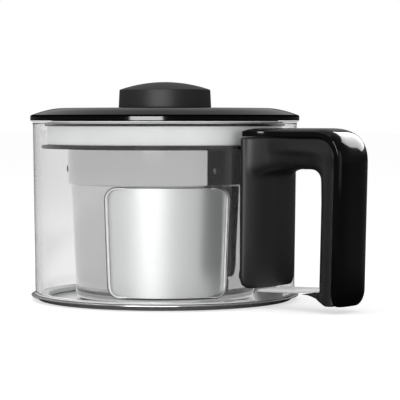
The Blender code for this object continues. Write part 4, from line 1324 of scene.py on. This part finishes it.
    def build(self) -> None:
        """Build, dress and hand over the handle's pieces."""
        shop = self.shop
        shop.hand_over(self.grip(), Body.JUG, "matt", "black_plastic", "handle_body")
        shop.hand_over(self.cover(), Body.JUG, "gloss", "black_gloss", "handle_cover")
        shop.hand_over(self.strap(), Body.JUG, "strap", "brushed_steel", "handle_bracket")
        shop.hand_over(self.screws(), Body.JUG, "zinc", "brushed_steel", "foot_screw_1", "foot_screw_2")
        shop.keep("handle_bond", "cured")
        for number in (1, 2):
            shop.keep(f"foot_insert_{number}", "brass")


@dataclass
class Infuser:
    """The hanging infuser: collar, rings, cup with three windows, rivets and floor."""

    shop: Workshop
    seat: float = 0.1003
    cup_top: float = 0.0853
    band_foot: float = 0.0659
    body_top: float = 0.0654
    cup_foot: float = 0.0020
    top_radius: float = 0.05513
    band_radius: float = 0.05493
    body_radius: float = 0.05308
    foot_radius: float = 0.05025
    sheet: float = 0.0006
    land: float = 0.0045
    window_first: float = radians(-48.3)
    window_top: float = 0.0651
    window_foot: float = 0.0037
    window_top_half: float = radians(40.5)
    window_foot_half: float = radians(40.1)
    window_corner: float = 0.0068
    recess: float = 0.0016
    panel_sheet: float = 0.0005
    panel_inset: float = 0.0007
    panel_columns: int = 72
    cutter_reach: tuple[float, float] = (0.034, 0.060)
    rivet_height: float = 0.0740
    rivet_first: float = radians(-19.5)
    collar_radius: float = 0.0666
    flange_radius: float = 0.0756
    collar_depth: float = 0.0126
    sleeve_depth: float = 0.0182
    seal_radius: float = 0.0682
    seal_bore: float = 0.0669
    seal_depth: float = 0.0020
    bumper_radius: float = 0.0700
    bumper_thickness: float = 0.0018
    bumper_edge: float = 0.0007
    strainer_sheet: float = 0.0005
    strainer_rise: float = 0.0004
    rivet_head: float = 0.0006
    rivet_head_radius: float = 0.0021
    rivet_radius: float = 0.0012

    def body_at(self, height: float) -> float:
        """Return the outer radius of the cup's body at a height."""
        share = (height - self.cup_foot) / (self.body_top - self.cup_foot)
        return self.foot_radius + (self.body_radius - self.foot_radius) * share

    def band_at(self, height: float) -> float:
        """Return the outer radius of the cup's band at a height."""
        share = (height - self.band_foot) / (self.cup_top - self.band_foot)
        return self.band_radius + (self.top_radius - self.band_radius) * share

    def outline(self, inset: float, segments: int = 7) -> list[Point]:
        """Return a window's outline (across, height), drawn in by an inset.

        Args:
            inset: Distance from the opening's edge.
            segments: Straight steps in each corner.

        Returns:
            Points from the upper left corner down and round.
        """
        top_half = self.body_at(self.window_top) * sin(self.window_top_half)
        foot_half = self.body_at(self.window_foot) * sin(self.window_foot_half)
        slope = (top_half - foot_half) / (self.window_top - self.window_foot)
        side = inset * sqrt(1 + slope * slope)
        radius = max(self.window_corner - inset, GAP)
        top, foot = top_half - side - slope * inset, foot_half - side + slope * inset
        return rounded([
            (-top, self.window_top - inset, radius),
            (-foot, self.window_foot + inset, radius),
            (foot, self.window_foot + inset, radius),
            (top, self.window_top - inset, radius),
        ], segments=segments)

    def on_wall(self, across: float, height: float, depth: float, angle: float) -> Vector:
        """Place a point of a window's outline on the cup's wall.

        Args:
            across: Distance from the window's middle, seen square on.
            height: Height of the point.
            depth: Distance out from the cup's outer wall.
            angle: Angle of the window's middle round the axis.

        Returns:
            The point in space.
        """
        radius = self.body_at(height) + depth
        flat = Vector((sqrt(max(radius ** 2 - across ** 2, 0.0)), across, height))
        return Matrix.Rotation(angle, 3, "Z") @ flat

    def angles(self, first: float) -> list[float]:
        """Return three even angles round the axis."""
        return [first + 2 * pi * index / 3 for index in range(3)]

    def cup(self) -> bpy.types.Object:
        """Make the tapered cup under its wider band, cut open at the windows.

        Returns:
            The cup.
        """
        sheet, land = self.sheet, self.foot_radius - self.land
        profile = rounded([
            (self.top_radius, self.cup_top, 0.0002),
            (self.band_radius, self.band_foot, 0.0004),
            (self.body_radius, self.body_top, 0.0002),
            (self.foot_radius, self.cup_foot, 0.0012),
            (land, self.cup_foot, 0.0),
            (land, self.cup_foot + sheet, 0.0),
            (self.foot_radius - sheet, self.cup_foot + sheet, 0.0006),
            (self.body_radius - sheet, self.body_top + sheet, 0.0),
            (self.band_radius - sheet, self.band_foot + sheet, 0.0),
            (self.top_radius - sheet, self.cup_top, 0.0),
        ], segments=3)
        item = turned("infuser_cup_wall", profile)
        for angle in self.angles(self.window_first):
            turn = Matrix.Rotation(angle, 3, "Z")
            rows = []
            for reach in self.cutter_reach:
                corners = [Vector((reach, across, height)) for across, height in self.outline(0.0)]
                rows.append([turn @ corner for corner in corners])
            carve(item, skinned("window_cutter", rows, loop_rows=False, loop_points=True))
        true_normals(item.data)
        return item

    def bead_frame(self, number: int, angle: float) -> bpy.types.Object:
        """Make the rolled bead that lines one window.

        Args:
            number: Number of the window.
            angle: Angle of its middle round the axis.

        Returns:
            The bead as a closed loop.
        """
        shape = (
            (0.30, -1.30), (0.30, -0.30), (0.34, -0.02), (0.48, 0.18), (0.70, 0.28), (0.95, 0.30),
            (1.20, 0.24), (1.40, 0.08), (1.50, -0.14), (1.53, -0.50), (1.62, -0.78), (1.80, -0.92),
            (1.90, -1.05), (1.90, -1.30),
        )
        paths = [self.outline(GAP + (inset - 0.30) / 1000.0) for inset, _ in shape]
        rows = []
        for place in range(len(paths[0])):
            rows.append([
                self.on_wall(path[place][0], path[place][1], depth / 1000.0, angle)
                for path, (_, depth) in zip(paths, shape)
            ])
        item = skinned(f"window_bead_{number}", rows, loop_rows=True, loop_points=True)
        return flank_shading(item, 60.0)

    def panel(self, number: int, angle: float) -> bpy.types.Object:
        """Make the curved steel cloth behind one window's bead, with a UV map in metres.

        Args:
            number: Number of the window.
            angle: Angle of its middle round the axis.

        Returns:
            The cloth as a closed sheet.
        """
        edge = self.outline(self.panel_inset, segments=10)
        left = edge[:len(edge) // 2]
        columns = self.panel_columns
        widths: dict[float, float] = {}
        last_across, last_height = left[0]
        for across, height in left:
            steps = 40 if last_height - height > 0.01 else 1
            for step in range(1, steps + 1):
                share = step / steps
                level = last_height + (height - last_height) * share
                widths[round(level, 7)] = abs(last_across + (across - last_across) * share)
            last_across, last_height = across, height
        rows = []
        for height, width in sorted(widths.items(), reverse=True):
            row = []
            for step in range(columns + 1):
                across = width * (2 * step / columns - 1)
                row.append(self.on_wall(across, height, -self.recess, angle))
            rows.append(row)
        item = skinned(f"window_cloth_{number}", rows, loop_rows=False, loop_points=False)
        layer = item.data.uv_layers.new(name="cloth")
        for loop in item.data.loops:
            place = item.data.vertices[loop.vertex_index].co
            away = Matrix.Rotation(-angle, 3, "Z") @ place
            layer.data[loop.index].uv = (asin(away.y / hypot(away.x, away.y)) * self.foot_radius, place.z)
        face = item.data.polygons[len(item.data.polygons) // 2]
        outward = face.normal.dot(Vector((face.center.x, face.center.y, 0.0))) > 0
        wall = item.modifiers.new("Sheet", "SOLIDIFY")
        wall.thickness = self.panel_sheet
        wall.offset = -1.0 if outward else 1.0
        settle(item)
        if not outward:
            item.data.flip_normals()
        true_normals(item.data)
        return item

    def collar(self) -> bpy.types.Object:
        """Make the collar: flange on the glass rim, round wall, step and sleeve.

        Returns:
            The collar.
        """
        sheet, bend = self.sheet, 0.0012
        seat = self.seat
        step = seat - self.collar_depth
        sleeve_foot = step - self.sleeve_depth
        sleeve_top = self.band_at(step) - self.sheet - GAP
        sleeve_low = self.band_at(sleeve_foot) - self.sheet - GAP
        bore = self.collar_radius - sheet
        profile = rounded([
            (self.flange_radius, seat + sheet, 0.00028),
            (self.flange_radius, seat, 0.00028),
            (self.collar_radius, seat, 0.0006),
            (self.collar_radius, step, 0.0006),
            (sleeve_top, step, 0.0),
            (sleeve_low, sleeve_foot, 0.0),
            (sleeve_low - sheet, sleeve_foot, 0.0),
            (sleeve_top - sheet, step + sheet, bend),
            (bore, step + sheet, 0.0003),
            (bore, seat + sheet, bend),
        ])
        return turned("hanging_collar", profile)

    def rings(self) -> tuple[bpy.types.Object, bpy.types.Object]:
        """Make the dark seal under the flange and the dark bumper over the cup.

        Returns:
            The seal and the bumper.
        """
        brow, lip = self.seat - GAP, self.seat - self.seal_depth
        seal = turned("collar_soft_seal", rounded([
            (self.seal_radius, brow, 0.0003),
            (self.seal_radius, lip, 0.0004),
            (self.seal_bore, lip, 0.0003),
            (self.seal_bore, brow, 0.0003),
        ], segments=3))
        top = self.seat - self.collar_depth - GAP
        foot = top - self.bumper_thickness
        inner = self.band_at(top) - self.sheet
        bumper = turned("cup_bumper", rounded([
            (self.bumper_radius, top, self.bumper_edge),
            (self.bumper_radius, foot, self.bumper_edge),
            (inner, foot, 0.0),
            (inner, top, 0.0),
        ]))
        return seal, bumper

    def floor(self) -> bpy.types.Object:
        """Make the strainer disc that lies on the cup's inner land.

        Returns:
            The disc, with a UV map in metres for its weave.
        """
        foot = self.cup_foot + self.sheet + GAP
        radius = self.foot_radius - self.sheet - 2 * GAP
        rise, sheet = self.strainer_rise, self.strainer_sheet
        inner = radius - self.land
        item = turned("strainer_floor", rounded([
            (0.0, foot + sheet + rise, 0.0),
            (radius * 0.5, foot + sheet + rise, 0.004),
            (inner, foot + sheet, 0.004),
            (radius, foot + sheet, 0.0001),
            (radius, foot, 0.0001),
            (inner, foot, 0.004),
            (radius * 0.5, foot + rise, 0.004),
            (0.0, foot + rise, 0.0),
        ], closed=False), closed=False)
        layer = item.data.uv_layers.new(name="cloth")
        for loop in item.data.loops:
            place = item.data.vertices[loop.vertex_index].co
            layer.data[loop.index].uv = (place.x, place.y)
        return item

    def rivets(self) -> bpy.types.Object:
        """Make the three rivets, with a low domed head on each side of the wall.

        Returns:
            All three rivets in one mesh.
        """
        wall = self.band_at(self.rivet_height)
        inside = -(2 * self.sheet + 2 * GAP)
        head, wide, shank = self.rivet_head, self.rivet_head_radius, self.rivet_radius
        profile = [(0.0, GAP + head)]
        for share in (0.3, 0.55, 0.75, 0.9, 0.98):
            profile.append((wide * share, GAP + head * sqrt(1 - share ** 2) * 0.9 + head * 0.05))
        profile += [(wide, GAP + 0.0001), (wide, GAP), (shank, GAP), (shank, inside), (wide, inside)]
        profile += [(wide, inside - 0.0002), (wide * 0.7, inside - head), (0.0, inside - head)]
        item = turned("infuser_rivets", profile, closed=False, steps=24)
        item.data.transform(Matrix.Rotation(pi / 2, 4, "Y"))
        sizes = {"count": 3, "reach": wall, "height": self.rivet_height, "first_angle": self.rivet_first}
        # the rivets' steel is darkened as a painted dark reflection
        Repeater("rivet_ring").repeat(item, True, finish=self.shop.finishes.get("rivet_painted_dark"), **sizes)
        return flank_shading(item, 50.0)

    def build(self) -> None:
        """Build, dress and hand over the infuser's pieces."""
        shop = self.shop
        seal, bumper = self.rings()
        shop.hand_over(self.collar(), Body.INFUSER, "satin", "brushed_steel", "infuser_collar")
        shop.hand_over(seal, Body.INFUSER, "black_rubber", "dark_silicone", "collar_seal")
        shop.hand_over(bumper, Body.INFUSER, "rubber", "dark_silicone", "infuser_ring")
        shop.hand_over(self.cup(), Body.INFUSER, "drawn", "brushed_steel", "infuser_cup")
        shop.hand_over(self.floor(), Body.INFUSER, "woven", "steel_mesh", "infuser_floor")
        for number, angle in enumerate(self.angles(self.window_first), 1):
            frame_name, panel_name = f"mesh_frame_{number}", f"mesh_panel_{number}"
            bead, cloth = self.bead_frame(number, angle), self.panel(number, angle)
            shop.hand_over(bead, Body.INFUSER, "bright", "polished_steel", frame_name)
            shop.hand_over(cloth, Body.INFUSER, "woven", "steel_mesh", panel_name)
        names = [f"infuser_rivet_{number}" for number in (1, 2, 3)]
        shop.hand_over(self.rivets(), Body.INFUSER, "rivet_painted_dark", "polished_steel", *names)


@dataclass
class Lid:
    """The black lid: cover, liner, gasket, knob and the fixings between them."""

    shop: Workshop
    seat: float = 0.1012
    height: float = 0.0071
    flat_radius: float = 0.0615
    shoulder_radius: float = 0.0692
    shoulder_drop: float = 0.0017
    radius: float = 0.0763
    rim: float = 0.0030
    wall: float = 0.0022
    bore: float = 0.0023
    liner_radius: float = 0.0642
    liner_wall: float = 0.0012
    liner_depth: float = 0.0072
    liner_foot: float = 0.0012
    liner_shelf: float = 0.0009
    gasket_height: float = 0.0022
    gasket_radius: float = 0.0657
    gasket_rib: float = 0.0004
    knob_foot: float = 0.0263
    knob_top: float = 0.0258
    knob_side: float = 0.0101
    knob_dome: float = 0.0044
    insert_bore: float = 0.0045
    insert_depth: float = 0.0086

    def underside(self, radius: float) -> float:
        """Return the height of the lid's inner slope at a radius."""
        share = (radius - self.flat_radius) / (self.radius - self.flat_radius)
        return self.seat + self.height - self.wall - (self.height - self.rim) * max(share, 0.0)

    def cover(self) -> bpy.types.Object:
        """Make the lid's cover: flat centre, broad sloped border and upright rim.

        Returns:
            The cover.
        """
        top, inner = self.seat + self.height, self.radius - self.wall
        profile = rounded([
            (self.bore, top, 0.0),
            (self.flat_radius, top, 0.0700),
            (self.shoulder_radius, top - self.shoulder_drop, 0.0500),
            (self.radius, self.seat + self.rim, 0.0011),
            (self.radius, self.seat, 0.0002),
            (inner, self.seat, 0.0002),
            (inner, self.underside(inner), 0.0),
            (self.flat_radius, top - self.wall, 0.0),
            (self.bore, top - self.wall, 0.0),
        ], segments=10)
        return turned("lid_shell", profile)

    def liner(self) -> bpy.types.Object:
        """Make the liner plate with the skirt that drops into the collar.

        Returns:
            The liner.
        """
        top, wall = self.seat + self.height - self.wall - GAP, self.liner_wall
        shoulder = self.underside(self.liner_radius) - 2 * GAP
        foot = self.seat - self.liner_depth
        ledge = foot + self.liner_foot
        shelf = self.liner_radius + self.liner_shelf
        return turned("lid_inner_skirt", rounded([
            (self.bore, top, 0.0),
            (self.flat_radius - GAP, top, 0.0),
            (self.liner_radius, shoulder, 0.0006),
            (self.liner_radius, ledge, 0.0),
            (shelf, ledge, 0.0002),
            (shelf, foot, 0.0004),
            (self.liner_radius - wall, foot, 0.0004),
            (self.liner_radius - wall, shoulder - wall, 0.0012),
            (self.flat_radius - wall, top - wall, 0.0),
            (self.bore, top - wall, 0.0),
        ], segments=3), steps=160)

    def gasket(self) -> bpy.types.Object:
        """Make the ribbed soft ring round the skirt.

        Returns:
            The gasket.
        """
        foot = self.seat - self.liner_depth + self.liner_foot + GAP
        inner, tall = self.liner_radius + GAP, self.gasket_height
        profile: list[Point] = [(inner, foot + tall)]
        for step in range(13):
            dent = 0.5 + 0.5 * cos(4 * pi * step / 12)
            profile.append((self.gasket_radius - self.gasket_rib * dent, foot + tall * (1 - step / 12)))
        profile.append((inner, foot))
        return turned("lid_soft_gasket", profile, steps=160)

    def knob(self) -> bpy.types.Object:
        """Make the round knob with its shallow dome and the bore for its insert.

        Returns:
            The knob.
        """
        foot = self.seat + self.height + GAP
        edge = foot + self.knob_side
        sphere = (self.knob_top ** 2 + self.knob_dome ** 2) / (2 * self.knob_dome)
        peak = edge + self.knob_dome
        corners: list[Corner] = [(0.0, peak, 0.0)]
        for step in range(1, 24):
            radius = self.knob_top * step / 24
            corners.append((radius, peak - sphere + sqrt(sphere ** 2 - radius ** 2), 0.0))
        corners += [
            (self.knob_top, edge, 0.0005),
            (self.knob_foot, foot, 0.0004),
            (self.insert_bore, foot, 0.0),
            (self.insert_bore, foot + self.insert_depth, 0.0),
            (0.0, foot + self.insert_depth, 0.0),
        ]
        return turned("lid_grip_knob", rounded(corners, closed=False, segments=4), closed=False)

    def build(self) -> None:
        """Build, dress and hand over the lid's pieces."""
        shop = self.shop
        shop.hand_over(self.cover(), Body.LID, "lid_gloss", "black_gloss", "lid_cover")
        shop.hand_over(self.liner(), Body.LID, "liner", "black_plastic", "lid_liner")
        shop.hand_over(self.gasket(), Body.LID, "black_rubber", "dark_silicone", "lid_gasket")
        shop.hand_over(self.knob(), Body.LID, "knob", "black_plastic", "lid_knob")
        shop.keep("knob_insert", "brass")
        shop.keep("knob_washer", "zinc")
        shop.keep("knob_screw", "zinc")


@dataclass
class Studio:
    """Pale floor, white surroundings, soft lamps and the camera."""

    azimuth: float = radians(-50.0)
    distance: float = 1.050
    camera_height: float = 0.101
    focal_pixels: float = 1845.0
    axis_column: float = 165.0
    horizon_row: float = 121.0
    image: float = 400.0
    sensor: float = 36.0
    ambient: float = 0.45
    room: float = 0.27
    back_low: float = 0.08
    back_high: float = 0.42
    side_through: float = 0.84
    floor_glow: float = 0.62
    floor_through: float = 0.44
    # painted shade: glass shows the floor this dim close to the jug
    floor_near_shade: float = 0.30
    floor_reach: float = 12.0
    floor_colour: str = "#e8e8e8"
    # painted shade: reflections show the floor this dark close to the jug
    mirrored_near_shade: str = "#444444"
    mirrored_far: str = "#9a9a9a"
    aim_height: float = 0.06
    back_fade: tuple[float, float] = (-0.08, 0.02)
    lane_fade: tuple[float, float] = (0.085, 0.14)
    far_fade: tuple[float, float] = (0.45, 0.80)
    near_fade: tuple[float, float] = (0.12, 0.35)
    sky_fade: tuple[float, float] = (0.07, 0.19)
    wall_fade: tuple[float, float] = (0.0, 0.6)
    side_fade: tuple[float, float] = (0.4, 0.97)

    def floor(self) -> None:
        """Lay the floor, which shows as white and keeps the jug's shadow.

        Reflections show it grey, with painted shade darker close to the jug. Glass shows it
        dimmer there too, the same painted shade, except in the lane straight behind the jug.
        """
        mesh = bpy.data.meshes.new("studio_floor")
        reach = self.floor_reach
        square = ((-reach, -reach), (reach, -reach), (reach, reach), (-reach, reach))
        mesh.from_pydata([(x, y, -GAP) for x, y in square], [], [(0, 1, 2, 3)])
        item = link("studio_floor", mesh)
        material = bpy.data.materials.new("floor_white_laminate")
        material.use_nodes = True
        tree = material.node_tree
        tree.nodes.clear()
        path = add_node(tree, "ShaderNodeLightPath")
        mirrored = add_node(
            tree, "ShaderNodeMath",
            links={0: path.outputs["Is Glossy Ray"], 1: path.outputs["Is Transmission Ray"]},
            operation="SUBTRACT", use_clamp=True,
        )
        place = add_node(tree, "ShaderNodeTexCoord")
        behind = add_node(
            tree, "ShaderNodeVectorMath", {1: (-cos(self.azimuth), -sin(self.azimuth), 0.0)},
            {0: place.outputs["Object"]}, operation="DOT_PRODUCT",
        )
        beside = add_node(
            tree, "ShaderNodeVectorMath", {1: (-sin(self.azimuth), cos(self.azimuth), 0.0)},
            {0: place.outputs["Object"]}, operation="DOT_PRODUCT",
        )
        away = add_node(
            tree, "ShaderNodeVectorMath", links={0: place.outputs["Object"]}, operation="LENGTH"
        )
        back = add_node(
            tree, "ShaderNodeMapRange", {1: self.back_fade[0], 2: self.back_fade[1]},
            {0: behind.outputs["Value"]}, interpolation_type="SMOOTHSTEP",
        )
        off = add_node(tree, "ShaderNodeMath", links={0: beside.outputs["Value"]}, operation="ABSOLUTE")
        lane = add_node(
            tree, "ShaderNodeMapRange",
            {1: self.lane_fade[0], 2: self.lane_fade[1], 3: 1.0, 4: 0.0},
            {0: off.outputs[0]}, interpolation_type="SMOOTHSTEP",
        )
        strip = add_node(
            tree, "ShaderNodeMath", links={0: back.outputs[0], 1: lane.outputs[0]}, operation="MULTIPLY"
        )
        far = add_node(
            tree, "ShaderNodeMapRange", {1: self.far_fade[0], 2: self.far_fade[1]},
            {0: away.outputs["Value"]}, interpolation_type="SMOOTHSTEP",
        )
        most = add_node(
            tree, "ShaderNodeMath", links={0: strip.outputs[0], 1: far.outputs[0]}, operation="MAXIMUM"
        )
        # painted shade: glass sees the floor dimmer close to the jug, except in the lane behind it
        shade = add_node(
            tree, "ShaderNodeMapRange", {3: self.floor_near_shade, 4: self.floor_through},
            {0: most.outputs[0]},
        )
        # painted shade: reflections see the floor darker close to the jug
        close = add_node(
            tree, "ShaderNodeMapRange", {1: self.near_fade[0], 2: self.near_fade[1]},
            {0: away.outputs["Value"]}, interpolation_type="SMOOTHSTEP",
        )
        grey = add_node(
            tree, "ShaderNodeMix", {6: srgb(self.mirrored_near_shade), 7: srgb(self.mirrored_far)},
            {0: close.outputs[0]}, data_type="RGBA",
        )
        tone = add_node(
            tree, "ShaderNodeMix", {6: srgb(self.floor_colour)},
            {0: mirrored.outputs[0], 7: grey.outputs[2]}, data_type="RGBA",
        )
        matt = add_node(tree, "ShaderNodeBsdfDiffuse", links={"Color": tone.outputs[2]})
        through = add_node(
            tree, "ShaderNodeMath",
            links={0: path.outputs["Is Transmission Ray"], 1: shade.outputs[0]}, operation="MULTIPLY",
        )
        level = add_node(
            tree, "ShaderNodeMath", {1: self.floor_glow},
            {0: path.outputs["Is Camera Ray"], 2: through.outputs[0]}, operation="MULTIPLY_ADD",
        )
        glow = add_node(tree, "ShaderNodeEmission", {"Color": (1, 1, 1, 1)}, {"Strength": level.outputs[0]})
        both = add_node(tree, "ShaderNodeAddShader", links={0: matt.outputs[0], 1: glow.outputs[0]})
        add_node(tree, "ShaderNodeOutputMaterial", links={"Surface": both.outputs[0]})
        mesh.materials.append(material)

    def world(self) -> None:
        """Surround the jug with white behind it and a dimmer room in front."""
        world = bpy.data.worlds.new("studio_white")
        bpy.context.scene.world = world
        world.use_nodes = True
        tree = world.node_tree
        tree.nodes.clear()
        path = add_node(tree, "ShaderNodeLightPath")
        way = add_node(tree, "ShaderNodeTexCoord")
        behind = Vector((-cos(self.azimuth), -sin(self.azimuth), 0.0))
        facing = add_node(
            tree, "ShaderNodeVectorMath", {1: behind}, {0: way.outputs["Generated"]},
            operation="DOT_PRODUCT",
        )
        parts = add_node(tree, "ShaderNodeSeparateXYZ", links={0: way.outputs["Generated"]})
        high = add_node(
            tree, "ShaderNodeMapRange",
            {1: self.sky_fade[0], 2: self.sky_fade[1], 3: self.back_low, 4: self.back_high},
            {0: parts.outputs[2]}, interpolation_type="SMOOTHSTEP",
        )
        half = add_node(
            tree, "ShaderNodeMapRange", {1: self.wall_fade[0], 2: self.wall_fade[1]},
            {0: facing.outputs["Value"]}, interpolation_type="SMOOTHSTEP",
        )
        mirrored = add_node(
            tree, "ShaderNodeMix", {2: self.room}, {0: half.outputs[0], 3: high.outputs[0]}
        )
        through = add_node(
            tree, "ShaderNodeMapRange",
            {1: self.side_fade[0], 2: self.side_fade[1], 3: self.side_through, 4: 1.0},
            {0: facing.outputs["Value"]}, interpolation_type="SMOOTHSTEP",
        )
        glossy = add_node(
            tree, "ShaderNodeMix", {2: self.ambient},
            {0: path.outputs["Is Glossy Ray"], 3: mirrored.outputs[0]},
        )
        glassy = add_node(
            tree, "ShaderNodeMix",
            links={0: path.outputs["Is Transmission Ray"], 2: glossy.outputs[0], 3: through.outputs[0]},
        )
        strength = add_node(
            tree, "ShaderNodeMix", {3: 1.0}, {0: path.outputs["Is Camera Ray"], 2: glassy.outputs[0]}
        )
        back = add_node(
            tree, "ShaderNodeBackground", {"Color": (1, 1, 1, 1)}, {"Strength": strength.outputs[0]}
        )
        add_node(tree, "ShaderNodeOutputWorld", links={"Surface": back.outputs[0]})

    def lamp(
        self, name: str, azimuth: float, elevation: float, distance: float,
        size: tuple[float, float], radiance: float, only: Sequence[str] = (),
    ) -> bpy.types.Object:
        """Hang one rectangular softbox that faces the jug.

        Args:
            name: Name of the lamp.
            azimuth: Direction from the jug in degrees.
            elevation: Height above the horizon in degrees.
            distance: Distance from the jug's middle.
            size: Width and height.
            radiance: Brightness of its face, where white is one.
            only: Names of the pieces that it lights, or none for all.

        Returns:
            The lamp's object.
        """
        light = bpy.data.lights.new(name, "AREA")
        light.shape = "RECTANGLE"
        light.size, light.size_y = size
        light.energy = radiance * pi * size[0] * size[1]
        item = bpy.data.objects.new(name, light)
        bpy.context.scene.collection.objects.link(item)
        turn, rise = radians(azimuth), radians(elevation)
        away = Vector((cos(turn) * cos(rise), sin(turn) * cos(rise), sin(rise)))
        item.location = Vector((0.0, 0.0, self.aim_height)) + away * distance
        item.rotation_euler = away.to_track_quat("Z", "Y").to_euler()
        item.visible_camera = False
        if only:
            lit = bpy.data.collections.new(f"lit_by_{name}")
            for piece in only:
                lit.objects.link(bpy.data.objects[piece])
            item.light_linking.receiver_collection = lit
        return item

    def lamps(self) -> None:
        """Hang the softboxes of the plain studio light."""
        cloths = [f"window_cloth_{number}" for number in (1, 2, 3)]
        beads = [f"window_bead_{number}" for number in (1, 2, 3)]
        self.lamp("softbox_top", -50.0, 88.0, 1.2, (0.9, 0.9), 1.0)
        self.lamp("softbox_left", -132.0, 48.0, 1.2, (0.6, 0.5), 2.2)
        self.lamp("softbox_back_right", 80.0, 28.0, 1.3, (1.0, 0.62), 13.0, ["gloss_cover"])
        self.lamp("strip_for_the_rim", -65.0, 0.5, 1.2, (0.56, 0.14), 60.0, ["lid_shell"])
        self.lamp("strip_for_the_dish", -61.5, 8.0, 1.2, (0.90, 0.40), 15.0, ["base_dish"])
        self.lamp("strip_for_the_knob", -63.0, 3.0, 1.2, (1.10, 0.50), 9.5, ["lid_grip_knob"])
        self.lamp("strip_for_the_grip", -32.0, 10.0, 1.2, (0.80, 0.50), 13.0, ["moulded_grip"])
        self.lamp("strip_left_for_the_grip", -128.0, 2.0, 1.2, (0.50, 0.50), 2.4, ["moulded_grip"])
        self.lamp("softbox_for_the_cover", -72.0, 22.0, 1.2, (0.26, 0.60), 60.0, ["gloss_cover"])
        self.lamp("strip_for_the_leg", 2.0, 2.0, 1.2, (0.60, 0.90), 1.6, ["gloss_cover"])
        self.lamp("strip_left_for_the_collar", -86.0, 6.0, 1.2, (0.90, 0.50), 6.5, ["hanging_collar"])
        self.lamp("strip_right_for_the_collar", -22.0, 6.0, 1.2, (0.50, 0.50), 4.5, ["hanging_collar"])
        self.lamp("strip_for_the_windows", -68.0, 2.0, 1.2, (0.50, 0.60), 14.0, [*cloths, *beads])
        cup = ["infuser_cup_wall", "glass_tube"]
        self.lamp("strip_for_the_cup", -63.0, 10.8, 1.2, (0.50, 0.50), 0.22, cup)
        steel = ["infuser_cup_wall", "infuser_rivets", *cloths, *beads]
        self.lamp("card_on_the_floor", 0.0, -90.0, 0.058, (3.0, 3.0), 0.40, steel)
        self.lamp("softbox_for_the_seal", -60.0, 40.0, 1.2, (0.50, 0.50), 14.0, ["base_soft_seal"])
        self.lamp("softbox_for_the_strap", -60.0, 55.0, 1.2, (0.50, 0.50), 17.0, ["handle_strap"])

    def camera(self) -> None:
        """Set the camera at the photograph's place, framing and angle."""
        data = bpy.data.cameras.new("product_camera")
        data.sensor_width = self.sensor
        data.lens = self.sensor * self.focal_pixels / self.image
        data.clip_start = 0.05
        item = bpy.data.objects.new("product_camera", data)
        bpy.context.scene.collection.objects.link(item)
        turn = self.azimuth
        item.location = (self.distance * cos(turn), self.distance * sin(turn), self.camera_height)
        ahead = Vector((-cos(turn), -sin(turn), 0.0))
        right = Vector((-sin(turn), cos(turn), 0.0))
        yaw = atan((self.image / 2 - self.axis_column) / self.focal_pixels)
        pitch = atan((self.image / 2 - self.horizon_row) / self.focal_pixels)
        way = (ahead * cos(yaw) + right * sin(yaw)) * cos(pitch)
        way.z = -sin(pitch)
        item.rotation_euler = way.to_track_quat("-Z", "Y").to_euler()
        bpy.context.scene.camera = item

    def build(self) -> None:
        """Set up the whole studio."""
        bpy.context.scene.view_settings.view_transform = "Standard"
        self.floor()
        self.world()
        self.lamps()
        self.camera()


def main() -> None:
    """Build the dressed jug and its studio."""
    logging.basicConfig(level=logging.INFO, format="%(name)s: %(message)s")
    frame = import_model()
    shop = Workshop(frame, Finishes())
    studio = Studio()
    BaseDish(shop).build()
    tube = GlassTube(shop)
    tube.build()
    SideHandle(shop, tube).build()
    Infuser(shop).build()
    Lid(shop).build()
    studio.build()
    bpy.context.view_layer.update()


if __name__ == "__main__":
    main()
